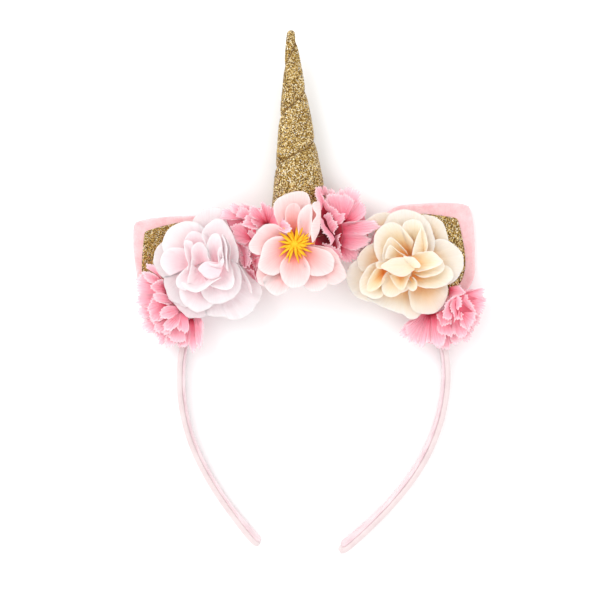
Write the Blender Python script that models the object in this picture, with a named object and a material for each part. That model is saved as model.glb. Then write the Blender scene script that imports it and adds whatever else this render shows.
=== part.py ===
"""Unicorn horn headband, lying on its back: +X right, +Y from the hoop toward the horn, +Z the flower side.

The origin is on the rear edge of the hoop, at the top of its arch. Lengths in the source are millimetres.
"""

import math

import bpy

MM = 0.001
GAP = 0.3  # between two pieces that rest on each other

# Hoop: a springy strip, an arch with two legs that close in toward the lower end
HOOP_RADIUS = 61.7  # of the middle of the strip, at the arch
STRIP_THICK = 2.6
STRIP_WIDE = 8.0
STRIP_EDGE = 0.5
HOOP_STEP = 5.8
# one leg from the top of the arch down: bend radius as a share of HOOP_RADIUS, degrees turned
LEG_BENDS = (
    (1.00, 90.0),
    (1.405, 32.0),
    (2.43, 10.0),
    (3.08, 6.0),
)
END_TAPER = 7.0
LINING_THICK = 1.0
LINING_WIDE = 6.0
LINING_SHORT = 1.6

OUTER = HOOP_RADIUS + STRIP_THICK / 2
INNER = HOOP_RADIUS - STRIP_THICK / 2
CENTRE = (0.0, -HOOP_RADIUS)

# Horn: a stuffed cone on the outside of the arch, drawn in by a thread that winds up it
HORN_AT = 100.0  # degrees round the hoop
HORN_LEAN = 97.6
HORN_LONG = 94.8
HORN_HALF = 14.8
HORN_DEEP = 10.5
HORN_TIP = 1.6
HORN_SIDES = 18
HORN_ROWS = 34
THREAD_PITCH = 23.2
THREAD_START = 0.71
THREAD_SINK = 0.07

# Ears: felt plates on the outside of the arch, each with a glitter panel in front
EAR_WIDE = 52.0
EAR_THICK = 3.0
EAR_REAR = 1.0
PANEL_SHARE = 0.80
PANEL_THICK = 1.0
PANEL_ROOT = 0.30
# half outline of an ear from its foot to its tip: half width as a share of EAR_WIDE, height as a share
EAR_OUTLINE = (
    (0.455, 0.08),
    (0.492, 0.20),
    (0.500, 0.33),
    (0.458, 0.49),
    (0.333, 0.66),
    (0.222, 0.80),
    (0.122, 0.91),
    (0.054, 0.97),
)
EAR_FOOT = 0.39
# name, degrees round the hoop, height
EARS = (
    ("left", 144.6, 45.2),
    ("right", 52.0, 42.8),
)

# Flowers: places round the hoop, distance as a share of OUTER
WHITE_ROSE = (138.3, 1.130)
CREAM_ROSE = (55.5, 1.076)
BLOSSOM = (103.0, 0.955)
ROSE_RADIUS = 26.0
ROSE_BASE = 12.0
ROSE_LIFT = 3.6
BLOSSOM_RADIUS = 23.0
BLOSSOM_CORE = 22.2
BLOSSOM_FOOT = 5.0
CARNATION_RADIUS = 20.5
WALL = 1.0
LAYER = WALL + GAP
FRONT = STRIP_WIDE + GAP  # where a flower rests on the front edge of the strip

# petal layers of a rose, outermost first: petals, reach and rise as shares of ROSE_RADIUS, steepness,
# depth between petals, fall of the lip, twist of a petal, degrees turned
ROSE_LAYERS = (
    (5, 1.00, 0.150, 1.5, 0.62, 0.030, 0.030, 20.0),
    (5, 0.84, 0.235, 1.9, 0.60, 0.040, 0.035, 58.0),
    (4, 0.64, 0.320, 2.2, 0.58, 0.040, 0.035, 10.0),
    (4, 0.46, 0.350, 2.2, 0.58, 0.030, 0.030, 60.0),
    (3, 0.32, 0.350, 2.1, 0.60, 0.020, 0.020, 25.0),
)
# name, degrees round the hoop, distance, lift of the core, degrees turned, reach
CARNATIONS = (
    ("upper_left", 114.6, 1.185, 4.4, 10.0, 0.93),
    ("lower_left", 155.4, 1.078, 0.0, 35.0, 1.03),
    ("upper_right", 83.2, 1.000, 0.0, 5.0, 1.10),
    ("lower_right", 32.3, 1.048, 0.0, 50.0, 1.02),
    ("middle", 122.0, 0.905, 0.0, 0.0, 0.64),
)
# ruffled layers of a carnation: frills, reach and rise as shares of CARNATION_RADIUS, steepness,
# pleat as a share, columns to a frill
RUFFLES = (
    (8, 1.00, 0.16, 2.4, 0.050, 4),
    (6, 0.66, 0.34, 1.6, 0.050, 4),
)

COLOURS = {
    "satin": (0.86, 0.66, 0.66, 0.38),
    "lining": (0.80, 0.52, 0.54, 0.45),
    "glitter": (0.60, 0.42, 0.13, 0.40),
    "felt": (0.95, 0.60, 0.64, 0.95),
    "white_petal": (0.93, 0.84, 0.86, 0.80),
    "cream_petal": (0.95, 0.86, 0.68, 0.80),
    "blossom_petal": (0.95, 0.66, 0.66, 0.80),
    "stamen": (0.90, 0.55, 0.03, 0.60),
    "carnation_petal": (0.90, 0.42, 0.52, 0.80),
}
METALLIC = {"glitter": 0.8}


def clear_start():
    for thing in list(bpy.data.objects):
        bpy.data.objects.remove(thing, do_unlink=True)


def material(name, kind):
    r, g, b, rough = COLOURS[kind]
    made = bpy.data.materials.new(name)
    made.use_nodes = True
    shader = made.node_tree.nodes["Principled BSDF"]
    shader.inputs["Base Color"].default_value = (r, g, b, 1.0)
    shader.inputs["Roughness"].default_value = rough
    shader.inputs["Metallic"].default_value = METALLIC.get(kind, 0.0)
    made.diffuse_color = (r, g, b, 1.0)
    return made


def solid(name, kind, rings, start, end):
    """One closed body through rings of equal count, closed at both ends by a fan to a point."""
    count = len(rings[0])
    points = [start] + [p for ring in rings for p in ring] + [end]
    faces = []
    for j in range(count):
        faces.append((0, 1 + (j + 1) % count, 1 + j))
    for i in range(len(rings) - 1):
        for j in range(count):
            a = 1 + i * count + j
            b = 1 + i * count + (j + 1) % count
            c, d = b + count, a + count
            faces.append((a, b, c))
            faces.append((a, c, d))
    last = 1 + (len(rings) - 1) * count
    for j in range(count):
        faces.append((len(points) - 1, last + j, last + (j + 1) % count))
    if volume(points, faces) < 0:
        faces = [face[::-1] for face in faces]
    mesh = bpy.data.meshes.new(name)
    mesh.from_pydata([tuple(v * MM for v in p) for p in points], [], faces)
    mesh.update()
    thing = bpy.data.objects.new(name, mesh)
    bpy.context.collection.objects.link(thing)
    mesh.materials.append(material(name, kind))
    return thing


def volume(points, faces):
    total = 0.0
    for a, b, c in faces:
        (ax, ay, az), (bx, by, bz), (cx, cy, cz) = points[a], points[b], points[c]
        total += ax * (by * cz - bz * cy) + ay * (bz * cx - bx * cz) + az * (bx * cy - by * cx)
    return total / 6


def smooth(t):
    t = min(max(t, 0.0), 1.0)
    return t * t * (3 - 2 * t)


def middle(points):
    return tuple(sum(p[k] for p in points) / len(points) for k in range(3))


def polar(degrees, distance):
    a = math.radians(degrees)
    return (CENTRE[0] + distance * math.cos(a), CENTRE[1] + distance * math.sin(a))


def leg(distance):
    """Point and outward direction on the right leg, this far along it from the top of the arch."""
    x, y, heading = 0.0, 0.0, 0.0
    for share, turn in LEG_BENDS:
        radius = share * HOOP_RADIUS
        bend = min(math.radians(turn), distance / radius)
        x += radius * (math.sin(heading + bend) - math.sin(heading))
        y += radius * (math.cos(heading + bend) - math.cos(heading))
        heading += bend
        distance -= bend * radius
        if distance <= 1e-9:
            break
    return x, y, math.sin(heading), math.cos(heading)


LEG_LONG = sum(share * HOOP_RADIUS * math.radians(turn) for share, turn in LEG_BENDS)


def hoop_stations(short_left, short_right):
    """Places along the whole hoop, left end to right end, with none at the very top, so it is flat there."""
    places = []
    for side, short in ((-1, short_left), (1, short_right)):
        long = LEG_LONG - short
        steps = int(round((long - HOOP_STEP / 2) / HOOP_STEP))
        stretch = (long - HOOP_STEP / 2) / steps
        row = [(side, HOOP_STEP / 2 + stretch * k, long) for k in range(steps + 1)]
        places += row[::-1] if side < 0 else row
    return places


def hoop_strip(name, kind, offset, thick, wide, edge, short_left, short_right):
    """A strip along the hoop; offset is how far its middle stands out from the middle of the hoop."""
    rings = []
    for side, distance, long in hoop_stations(short_left, short_right):
        x, y, nx, ny = leg(distance)
        left = long - distance
        fade = 1.0 if left >= END_TAPER else math.sqrt(1 - 0.62 * (1 - left / END_TAPER) ** 2)
        thin = 1.0 if left >= END_TAPER else 0.75 + 0.25 * left / END_TAPER
        half, deep = thick / 2 * thin, wide / 2 * fade
        section = (
            (-half, -deep + edge), (-half + edge, -deep), (half - edge, -deep), (half, -deep + edge),
            (half, deep - edge), (half - edge, deep), (-half + edge, deep), (-half, deep - edge),
        )
        ring = []
        for out, up in section:
            reach = offset + out
            ring.append((side * (x + nx * reach), y + ny * reach, STRIP_WIDE / 2 + up))
        rings.append(ring if side > 0 else ring)
    return solid(name, kind, rings, middle(rings[0]), middle(rings[-1]))


def horn_frame():
    foot = polar(HORN_AT, OUTER + GAP + 0.15)
    a = math.radians(HORN_LEAN)
    return foot, (math.cos(a), math.sin(a))


def horn_half(from_tip):
    """Half width and half depth of the horn, this far below its tip."""
    share = from_tip / HORN_LONG
    wide = HORN_TIP + (HORN_HALF - HORN_TIP) * share
    deep = HORN_TIP + (HORN_DEEP - HORN_TIP) * share
    round_tip = 1.0 if from_tip > HORN_TIP else math.sqrt(1 - (1 - from_tip / HORN_TIP) ** 2)
    return wide * round_tip, deep * round_tip


HORN_AXIS = GAP + HORN_DEEP


def horn():
    foot, (ax, ay) = horn_frame()
    sx, sy = ay, -ax

    def at(up, out, high):
        return (foot[0] + ax * up + sx * out, foot[1] + ay * up + sy * out, HORN_AXIS + high)

    def on_strip(out, high):
        up = 0.0
        for _ in range(6):
            x, y, _z = at(up, out, high)
            up += (OUTER + GAP + 0.15) - math.hypot(x - CENTRE[0], y - CENTRE[1])
        return at(up, out, high)

    rings = []
    for share in (0.5, 1.0):
        wide, deep = horn_half(HORN_LONG)
        rings.append([
            on_strip(-wide * share * math.cos(t), deep * share * math.sin(t))
            for t in (2 * math.pi * j / HORN_SIDES for j in range(HORN_SIDES))
        ])
    for i in range(1, HORN_ROWS):
        from_tip = HORN_LONG * (1 - i / HORN_ROWS)
        if i == HORN_ROWS - 1:
            from_tip = HORN_TIP * 0.35
        wide, deep = horn_half(from_tip)
        ring = []
        for j in range(HORN_SIDES):
            t = 2 * math.pi * j / HORN_SIDES
            turn = from_tip / THREAD_PITCH + t / (2 * math.pi) - THREAD_START
            off = abs(turn - round(turn)) / 0.15
            sink = 1 - (THREAD_SINK + 0.4 / max(wide, 3.0)) * max(0.0, 1 - off)
            ring.append(at(HORN_LONG - from_tip, -wide * sink * math.cos(t), deep * sink * math.sin(t)))
        rings.append(ring)
    return solid("horn", "glitter", rings, on_strip(0, 0), at(HORN_LONG, 0, 0))


def ear(side, degrees, tall):
    a = math.radians(degrees)
    out, across = (math.cos(a), math.sin(a)), (math.sin(a), -math.cos(a))

    def plan(u, v):
        reach = OUTER + v
        return (CENTRE[0] + out[0] * reach + across[0] * u, CENTRE[1] + out[1] * reach + across[1] * u)

    def plate(name, kind, outline, rear, thick, edge):
        mid = (sum(u for u, _ in outline) / len(outline), sum(v for _, v in outline) / len(outline))
        rings = []
        for inset, high in ((edge, 0.0), (0.0, edge), (0.0, thick - edge), (edge, thick)):
            ring = []
            for u, v in outline:
                long = math.hypot(u - mid[0], v - mid[1])
                keep = 1 - inset / long
                ring.append((*plan(mid[0] + (u - mid[0]) * keep, mid[1] + (v - mid[1]) * keep), rear + high))
            rings.append(ring)
        low, top = plan(*mid) + (rear,), plan(*mid) + (rear + thick,)
        return solid(name, kind, rings, low, top)

    seat = OUTER + GAP

    def foot_line(half, steps):
        row = [half - 2 * half * k / steps for k in range(steps + 1)]
        return [(u, math.sqrt(seat * seat - u * u) - OUTER) for u in row]

    half_side = [(EAR_WIDE * w, tall * h) for w, h in EAR_OUTLINE]
    felt = foot_line(EAR_WIDE * EAR_FOOT, 8)
    felt += [(-u, v) for u, v in half_side] + [(0.0, tall)] + half_side[::-1]
    plate("ear_%s_felt" % side, "felt", felt, EAR_REAR, EAR_THICK, 0.6)
    root = tall * PANEL_ROOT
    panel = [(u * PANEL_SHARE, root + (v - root) * PANEL_SHARE) for u, v in half_side if v < tall]
    panel = panel[1:]
    outline = [(-u, v) for u, v in panel] + [(0.0, root + (tall - root) * PANEL_SHARE)] + panel[::-1]
    plate("ear_%s_glitter" % side, "glitter", outline, EAR_REAR + EAR_THICK + GAP, PANEL_THICK, 0.25)


def in_horn(x, y, z, spare):
    foot, (ax, ay) = horn_frame()
    dx, dy = x - foot[0], y - foot[1]
    up, aside = dx * ax + dy * ay, dx * ay - dy * ax
    if up < -2.6 - spare or up > HORN_LONG:
        return False
    wide, deep = horn_half(HORN_LONG - max(up, 0.0))
    return math.hypot(aside / (wide + spare), (z - HORN_AXIS) / (deep + spare)) < 1


def rose_floor(distance):
    """Underside of the lowest petals of a rose at this distance from its middle."""
    petals, reach, rise, power = ROSE_LAYERS[0][:4]
    share = distance / (ROSE_RADIUS * reach)
    return FRONT + ROSE_LIFT + GAP + ROSE_RADIUS * (rise * share ** power - 0.035 * smooth((share - 0.3) / 0.4))


def under_rose(x, y, z, spare):
    for place in (WHITE_ROSE, CREAM_ROSE):
        cx, cy = polar(place[0], place[1] * OUTER)
        away = math.hypot(x - cx, y - cy)
        if away < ROSE_BASE + spare:
            return True
        if away < ROSE_RADIUS + spare and z > rose_floor(away) - spare:
            return True
    return False


def blossom_foot():
    return polar(BLOSSOM[0], OUTER - BLOSSOM_FOOT - 0.6)


def carnation_foot(degrees):
    return polar(degrees + 6.0, OUTER + 1.5)


def by_stem(x, y, z, spare):
    feet = [blossom_foot()] + [carnation_foot(row[1]) for row in CARNATIONS if row[3] and z < FRONT + row[3]]
    for cx, cy in feet:
        if math.hypot(x - cx, y - cy) < BLOSSOM_FOOT + spare:
            return True
    cx, cy = polar(BLOSSOM[0], BLOSSOM[1] * OUTER)
    return math.hypot(x - cx, y - cy) < BLOSSOM_RADIUS and z > BLOSSOM_CORE - WALL - spare


def whorl(name, kind, centre, core, petals, columns, rows, shape, hit=None, wall=WALL):
    """A layer of petals joined at its core. shape(theta, petal share, share of reach) gives reach and z."""
    count = petals * columns
    grid = []
    for i in range(1, rows + 1):
        grid.append([None] * count)
    for j in range(count):
        theta = 2 * math.pi * j / count
        part = (j % columns) / columns
        reach, height, turn = shape(part, j)
        angle = theta + turn
        if hit:
            r = 1.0
            while r < reach:
                x, y = centre[0] + r * math.cos(angle), centre[1] + r * math.sin(angle)
                if hit(x, y, core + height(r), j):
                    break
                r += 0.25
            reach = min(reach, max(r - 0.25, 1.5))
        for i in range(1, rows + 1):
            r = reach * i / rows
            grid[i - 1][j] = (
                centre[0] + r * math.cos(angle), centre[1] + r * math.sin(angle), core + height(r)
            )
    middle_point = (centre[0], centre[1], core)
    over, under = [], []
    for i in range(rows):
        top_row, low_row = [], []
        for j in range(count):
            before, after = grid[i][j - 1], grid[i][(j + 1) % count]
            inward = grid[i - 1][j] if i else middle_point
            outward = grid[i + 1][j] if i + 1 < rows else grid[i][j]
            a = [after[k] - before[k] for k in range(3)]
            b = [outward[k] - inward[k] for k in range(3)]
            n = (
                b[1] * a[2] - b[2] * a[1],
                b[2] * a[0] - b[0] * a[2],
                b[0] * a[1] - b[1] * a[0],
            )
            size = math.sqrt(sum(v * v for v in n)) or 1.0
            n = [v / size for v in n]
            if n[2] < 0:
                n = [-v for v in n]
            p = grid[i][j]
            top_row.append(tuple(p[k] + n[k] * wall / 2 for k in range(3)))
            low_row.append(tuple(p[k] - n[k] * wall / 2 for k in range(3)))
        over.append(top_row)
        under.append(low_row)
    start = (centre[0], centre[1], core - wall / 2)
    end = (centre[0], centre[1], core + wall / 2)
    return solid(name, kind, under + over[::-1], start, end)


def disc(name, kind, centre, low, high, wide_low, wide_high, sides=16):
    rings = []
    for radius, z in ((wide_low, low), (wide_high, high)):
        rings.append([
            (centre[0] + radius * math.cos(2 * math.pi * j / sides),
             centre[1] + radius * math.sin(2 * math.pi * j / sides), z)
            for j in range(sides)
        ])
    return solid(name, kind, rings, (*centre, low), (*centre, high))


def rose(name, kind, place, turned, squash):
    centre = polar(place[0], place[1] * OUTER)
    disc(name + "_base", kind, centre, FRONT, FRONT + ROSE_LIFT, ROSE_BASE - 1.0, ROSE_BASE - 3.5)
    core = FRONT + ROSE_LIFT + GAP + WALL / 2
    heights = []
    for k, (petals, reach, rise, power, notch, lip, twist, turn) in enumerate(ROSE_LAYERS):
        full = ROSE_RADIUS * reach
        columns = 5

        def shape(part, j, full=full, rise=rise, power=power, notch=notch, lip=lip, twist=twist, turn=turn,
                  petals=petals):
            wave = 1 + 0.04 * math.sin(2.3 * (j // columns) + k)
            r = full * wave * (notch + (1 - notch) * math.sin(math.pi * part) ** 0.55)

            def height(r):
                q = r / full
                z = ROSE_RADIUS * rise * q ** power
                z -= ROSE_RADIUS * lip * smooth((q - 0.75) / 0.3)
                z += ROSE_RADIUS * twist * (2 * part - 1) * smooth((q - 0.45) / 0.5)
                return z

            return r, height, math.radians(turn + turned)

        rows = 3 if k < 3 else 2
        whorl("%s_petals_%d" % (name, k + 1), kind, centre, core + k * LAYER, petals, columns, rows, shape)
        heights.append((core + k * LAYER, full, rise, power))
    core_z, full, rise, power = heights[-1]
    rings = []
    steps = 22
    for i in range(steps + 1):
        share = i / steps
        turn = math.radians(turned) + 2 * math.pi * 1.6 * share
        radius = 1.25 + 2.6 * share
        low = core_z + WALL + GAP + ROSE_RADIUS * rise * ((radius + 1.3) / full) ** power
        high = core_z + ROSE_RADIUS * rise * (0.98 - 0.10 * share + 0.05 * math.cos(2.2 * turn))
        ring = []
        for r, z in ((radius - 0.5, low), (radius - 0.5, high), (radius + 0.5, high), (radius + 0.5, low)):
            ring.append((centre[0] + r * math.cos(turn), centre[1] + r * math.sin(turn), z))
        rings.append(ring)
    solid(name + "_bud", kind, rings, middle(rings[0]), middle(rings[-1]))


def blossom():
    centre = polar(BLOSSOM[0], BLOSSOM[1] * OUTER)
    foot = blossom_foot()
    core = BLOSSOM_CORE
    disc("blossom_base", "blossom_petal", foot, FRONT, core - WALL / 2 - GAP, BLOSSOM_FOOT, BLOSSOM_FOOT - 1, 14)
    # petals, reach, rise, steepness, depth between petals, degrees turned
    layers = ((5, 1.00, 0.20, 1.5, 0.52, 18.0), (5, 0.80, 0.26, 1.4, 0.50, -18.0))
    for k, (petals, reach, rise, power, notch, turn) in enumerate(layers):
        full = BLOSSOM_RADIUS * reach

        def shape(part, j, full=full, rise=rise, power=power, notch=notch, turn=turn):
            r = full * (notch + (1 - notch) * math.sin(math.pi * part) ** 0.5)

            def height(r):
                q = r / full
                z = BLOSSOM_RADIUS * (rise * q ** power + 0.03 * (2 * part - 1) * smooth((q - 0.4) / 0.5))
                return z

            return r, height, math.radians(turn)

        whorl("blossom_petals_%d" % (k + 1), "blossom_petal", centre, core + k * LAYER, petals, 6, 3, shape)

    def filaments(part, j):
        r = 8.2 if j % 2 else 4.2

        def height(r):
            return 1.9 * (r / 8.0) ** 1.3

        return r, height, 0.0

    whorl("blossom_stamens", "stamen", centre, core + 2 * LAYER + 0.1, 16, 2, 2, filaments)


def carnation(name, degrees, distance, lift, turned, size):
    centre = polar(degrees, distance * OUTER)
    if lift:
        disc("carnation_%s_base" % name, "carnation_petal", carnation_foot(degrees), FRONT, FRONT + lift - GAP,
             BLOSSOM_FOOT, BLOSSOM_FOOT, 12)
    for k, (frills, reach, rise, power, pleat, columns) in enumerate(RUFFLES):
        full = CARNATION_RADIUS * size * reach
        core = FRONT + lift + WALL / 2 + k * (LAYER + 0.5)

        def shape(part, j, full=full, rise=rise, power=power, pleat=pleat):
            jag = 0.05 * math.sin(5.1 * j + 2 * k) + (0.04 if j % 2 else -0.04)
            r = full * (0.80 + 0.20 * math.sin(math.pi * part) ** 0.6 + jag)

            def height(r):
                q = r / full
                pleated = CARNATION_RADIUS * pleat * (1 if j % 2 else -1) * smooth((q - 0.3) / 0.7)
                return CARNATION_RADIUS * rise * size * q ** power + pleated + 0.3 * smooth(q)

            return r, height, math.radians(turned + 22.0 * k)

        def hit(x, y, z, j):
            high = z + WALL / 2
            for level in (z - WALL / 2, z, high):
                if in_horn(x, y, level, 1.0) or under_rose(x, y, level, 1.0) or by_stem(x, y, level, 0.8):
                    return True
            return False

        whorl("carnation_%s_%d" % (name, k + 1), "carnation_petal", centre, core, frills, columns,
              3 if k == 0 else 2, shape, hit)


clear_start()
hoop_strip("band", "satin", 0.0, STRIP_THICK, STRIP_WIDE, STRIP_EDGE, 0.0, 0.0)
hoop_strip("band_lining", "lining", -(STRIP_THICK + LINING_THICK) / 2 - GAP, LINING_THICK, LINING_WIDE, 0.25,
           0.3, LINING_SHORT)
horn()
for side_name, at_degrees, tall_by in EARS:
    ear(side_name, at_degrees, tall_by)
rose("white_rose", "white_petal", WHITE_ROSE, 0.0, 1.0)
rose("cream_rose", "cream_petal", CREAM_ROSE, 40.0, 1.0)
blossom()
for row in CARNATIONS:
    carnation(*row)
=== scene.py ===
import math
import random

import bmesh
import bpy
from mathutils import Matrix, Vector, noise


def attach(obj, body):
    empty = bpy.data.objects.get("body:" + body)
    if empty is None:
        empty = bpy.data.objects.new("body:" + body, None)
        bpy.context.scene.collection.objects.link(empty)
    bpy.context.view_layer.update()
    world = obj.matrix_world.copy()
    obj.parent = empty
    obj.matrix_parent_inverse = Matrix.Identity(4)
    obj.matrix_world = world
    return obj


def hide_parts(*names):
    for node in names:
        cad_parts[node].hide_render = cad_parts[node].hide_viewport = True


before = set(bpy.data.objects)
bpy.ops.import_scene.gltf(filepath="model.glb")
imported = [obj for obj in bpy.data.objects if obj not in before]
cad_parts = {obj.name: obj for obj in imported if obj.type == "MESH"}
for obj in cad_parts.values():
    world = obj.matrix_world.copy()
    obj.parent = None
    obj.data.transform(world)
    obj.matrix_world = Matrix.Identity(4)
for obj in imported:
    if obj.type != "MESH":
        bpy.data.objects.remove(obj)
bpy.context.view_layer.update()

MM = 0.001
GAP = 0.3

# Sizes in millimetres, as in the solids
HOOP_RADIUS = 61.7
STRIP_THICK = 2.6
STRIP_WIDE = 8.0
OUTER = HOOP_RADIUS + STRIP_THICK / 2
CENTRE = (0.0, -HOOP_RADIUS)
LEG_BENDS = ((1.00, 90.0), (1.405, 32.0), (2.43, 10.0), (3.08, 6.0))
LINING_THICK = 1.0
LINING_WIDE = 6.0
FRONT = STRIP_WIDE + GAP

HORN_AT, HORN_LEAN = 100.0, 97.6
HORN_LONG, HORN_HALF, HORN_DEEP, HORN_TIP = 94.8, 14.8, 10.5, 1.6
THREAD_PITCH, THREAD_START = 23.2, 0.71
HORN_AXIS = GAP + HORN_DEEP

EAR_WIDE, EAR_THICK, EAR_REAR = 52.0, 3.0, 1.0
EAR_OUTLINE = (
    (0.455, 0.08), (0.492, 0.20), (0.500, 0.33), (0.458, 0.49),
    (0.333, 0.66), (0.222, 0.80), (0.122, 0.91), (0.054, 0.97),
)
EAR_FOOT = 0.39
# Side, degrees round the hoop, height, height of the panel's tip
EARS = (("left", 144.6, 45.2, 38.8), ("right", 52.0, 42.8, 34.6))
PANEL_THICK = 1.0
# Half width of the panel, how far below its tip
PANEL_OUTLINE = (
    (17.5, 30.0), (20.4, 26.5), (21.2, 22.5), (20.7, 18.9), (18.5, 14.6),
    (15.4, 11.0), (11.4, 7.5), (6.2, 3.7), (2.3, 1.1),
)

# Feet of the flowers: degrees round the hoop, distance from its centre
WHITE_ROSE = (138.3, 1.130 * OUTER)
CREAM_ROSE = (55.5, 1.076 * OUTER)
BLOSSOM = (103.0, OUTER - 5.6)
CARNATION_FOOT = (120.6, OUTER + 1.5)
CARNATION_LIFT = 4.4
PHOTO_TURN = 4.75  # degrees from the photograph's upright to the hoop's axis


def smooth(t):
    t = min(max(t, 0.0), 1.0)
    return t * t * (3 - 2 * t)


def polar(degrees, distance):
    a = math.radians(degrees)
    return (CENTRE[0] + distance * math.cos(a), CENTRE[1] + distance * math.sin(a))


def wave(x, y=0.0, z=0.0):
    return noise.noise(Vector((x, y, z)))


# Materials

def shader(name, rough, metallic=0.0, sheen=0.0, soft=0.0, soft_radius=(1.0, 0.5, 0.4), level=None):
    made = bpy.data.materials.new(name)
    made.use_nodes = True
    tree = made.node_tree
    bsdf = tree.nodes["Principled BSDF"]
    bsdf.inputs["Roughness"].default_value = rough
    bsdf.inputs["Metallic"].default_value = metallic
    bsdf.inputs["Sheen Weight"].default_value = sheen
    bsdf.inputs["Sheen Roughness"].default_value = 0.5
    if level is not None:
        bsdf.inputs["Specular IOR Level"].default_value = level
    if soft:
        bsdf.inputs["Subsurface Weight"].default_value = soft
        bsdf.inputs["Subsurface Radius"].default_value = soft_radius
        bsdf.inputs["Subsurface Scale"].default_value = 0.0012
    return made, tree, bsdf


def put(tree, kind, **values):
    node = tree.nodes.new(kind)
    for key, value in values.items():
        setattr(node, key, value)
    return node


def feed(tree, source, target):
    tree.links.new(source, target)


def mapped(tree, scale=(1, 1, 1), coords="Object"):
    where = put(tree, "ShaderNodeTexCoord")
    turn = put(tree, "ShaderNodeMapping")
    turn.inputs["Scale"].default_value = scale
    feed(tree, where.outputs[coords], turn.inputs["Vector"])
    return turn.outputs["Vector"]


def noise_at(tree, vector, scale, detail=3.0, rough=0.55):
    node = put(tree, "ShaderNodeTexNoise")
    node.inputs["Scale"].default_value = scale
    node.inputs["Detail"].default_value = detail
    node.inputs["Roughness"].default_value = rough
    feed(tree, vector, node.inputs["Vector"])
    return node.outputs["Fac"]


def ramp_of(tree, value, stops):
    node = put(tree, "ShaderNodeValToRGB")
    line = node.color_ramp
    while len(line.elements) > 1:
        line.elements.remove(line.elements[-1])
    line.elements[0].position = stops[0][0]
    line.elements[0].color = (*stops[0][1], 1)
    for place, colour in stops[1:]:
        line.elements.new(place).color = (*colour, 1)
    feed(tree, value, node.inputs["Fac"])
    return node.outputs["Color"]


def blend(tree, share, a, b, way="MIX"):
    node = put(tree, "ShaderNodeMix", data_type="RGBA", blend_type=way)
    if isinstance(share, float):
        node.inputs[0].default_value = share
    else:
        feed(tree, share, node.inputs[0])
    for socket, value in ((node.inputs[6], a), (node.inputs[7], b)):
        if isinstance(value, tuple):
            socket.default_value = (*value, 1)
        else:
            feed(tree, value, socket)
    return node.outputs[2]


def ranged(tree, value, low, high, to_low, to_high):
    node = put(tree, "ShaderNodeMapRange")
    for key, number in zip((1, 2, 3, 4), (low, high, to_low, to_high)):
        node.inputs[key].default_value = number
    feed(tree, value, node.inputs[0])
    return node.outputs[0]


def raised(tree, bsdf, heights, distance):
    """Bump from one or more height sockets, each with its strength."""
    last = None
    for height, strength in heights:
        node = put(tree, "ShaderNodeBump")
        node.inputs["Strength"].default_value = strength
        node.inputs["Distance"].default_value = distance
        feed(tree, height, node.inputs["Height"])
        if last:
            feed(tree, last.outputs["Normal"], node.inputs["Normal"])
        last = node
    feed(tree, last.outputs["Normal"], bsdf.inputs["Normal"])


DYE = 0.92  # share of the listed petal tones that the cloth takes


def petal_cloth(name, stops, dark, soft=0.6, soft_radius=(1.0, 0.9, 0.9)):
    """Petal cloth: coloured along the petal by the piece's own reach, deeper towards the root partly as its
    own colour and partly as painted shade deep in the flower, with darker streaks along it and a fine weave.
    """
    made, tree, bsdf = shader(name, 0.78, sheen=0.25, soft=soft, soft_radius=soft_radius, level=0.25)
    along = put(tree, "ShaderNodeAttribute", attribute_name="along")
    # The shift of tones per petal: a little random tone, and painted shade on petals in shade
    tint = put(tree, "ShaderNodeAttribute", attribute_name="tint")
    patch = noise_at(tree, mapped(tree), 160.0, 3.0)
    moved = put(tree, "ShaderNodeMath", operation="MULTIPLY_ADD")
    feed(tree, patch, moved.inputs[0])
    moved.inputs[1].default_value = 0.16
    moved.inputs[2].default_value = -0.08
    total = put(tree, "ShaderNodeMath", operation="ADD")
    feed(tree, along.outputs["Fac"], total.inputs[0])
    feed(tree, moved.outputs[0], total.inputs[1])
    shifted = put(tree, "ShaderNodeMath", operation="ADD")
    feed(tree, total.outputs[0], shifted.inputs[0])
    feed(tree, tint.outputs["Fac"], shifted.inputs[1])
    base = ramp_of(tree, shifted.outputs[0], [(place, tuple(DYE * c for c in tone)) for place, tone in stops])
    streak = noise_at(tree, mapped(tree, (26, 1.3, 1), "UV"), 1.0, 3.0, 0.6)
    lines = ranged(tree, streak, 0.42, 0.72, 0.0, 0.35)
    colour = blend(tree, lines, base, dark, "MULTIPLY")
    feed(tree, colour, bsdf.inputs["Base Color"])
    weave = noise_at(tree, mapped(tree), 2600.0, 2.0)
    raised(tree, bsdf, ((streak, 0.25), (weave, 0.12)), 0.0004)
    return made


def satin(name, colour, dark, pale, ribs):
    made, tree, bsdf = shader(name, 0.34, sheen=0.35, level=0.6)
    bsdf.inputs["Anisotropic"].default_value = 0.5
    # Lighter and darker patches of the ribbon: partly its own uneven tone, partly painted sheen of the satin
    cloud = noise_at(tree, mapped(tree), 120.0, 3.0)
    tone = ramp_of(tree, cloud, ((0.3, dark), (0.5, colour), (0.72, pale)))
    thread = noise_at(tree, mapped(tree, (3, ribs, 1), "UV"), 1.0, 2.0)
    lines = ranged(tree, thread, 0.35, 0.75, 0.0, 0.22)
    feed(tree, blend(tree, lines, tone, dark), bsdf.inputs["Base Color"])
    feed(tree, ranged(tree, thread, 0.3, 0.7, 0.28, 0.44), bsdf.inputs["Roughness"])
    crease = noise_at(tree, mapped(tree, (1.2, 40, 1), "UV"), 1.0, 2.0)
    raised(tree, bsdf, ((thread, 0.22), (crease, 0.3)), 0.0003)
    return made


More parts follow.
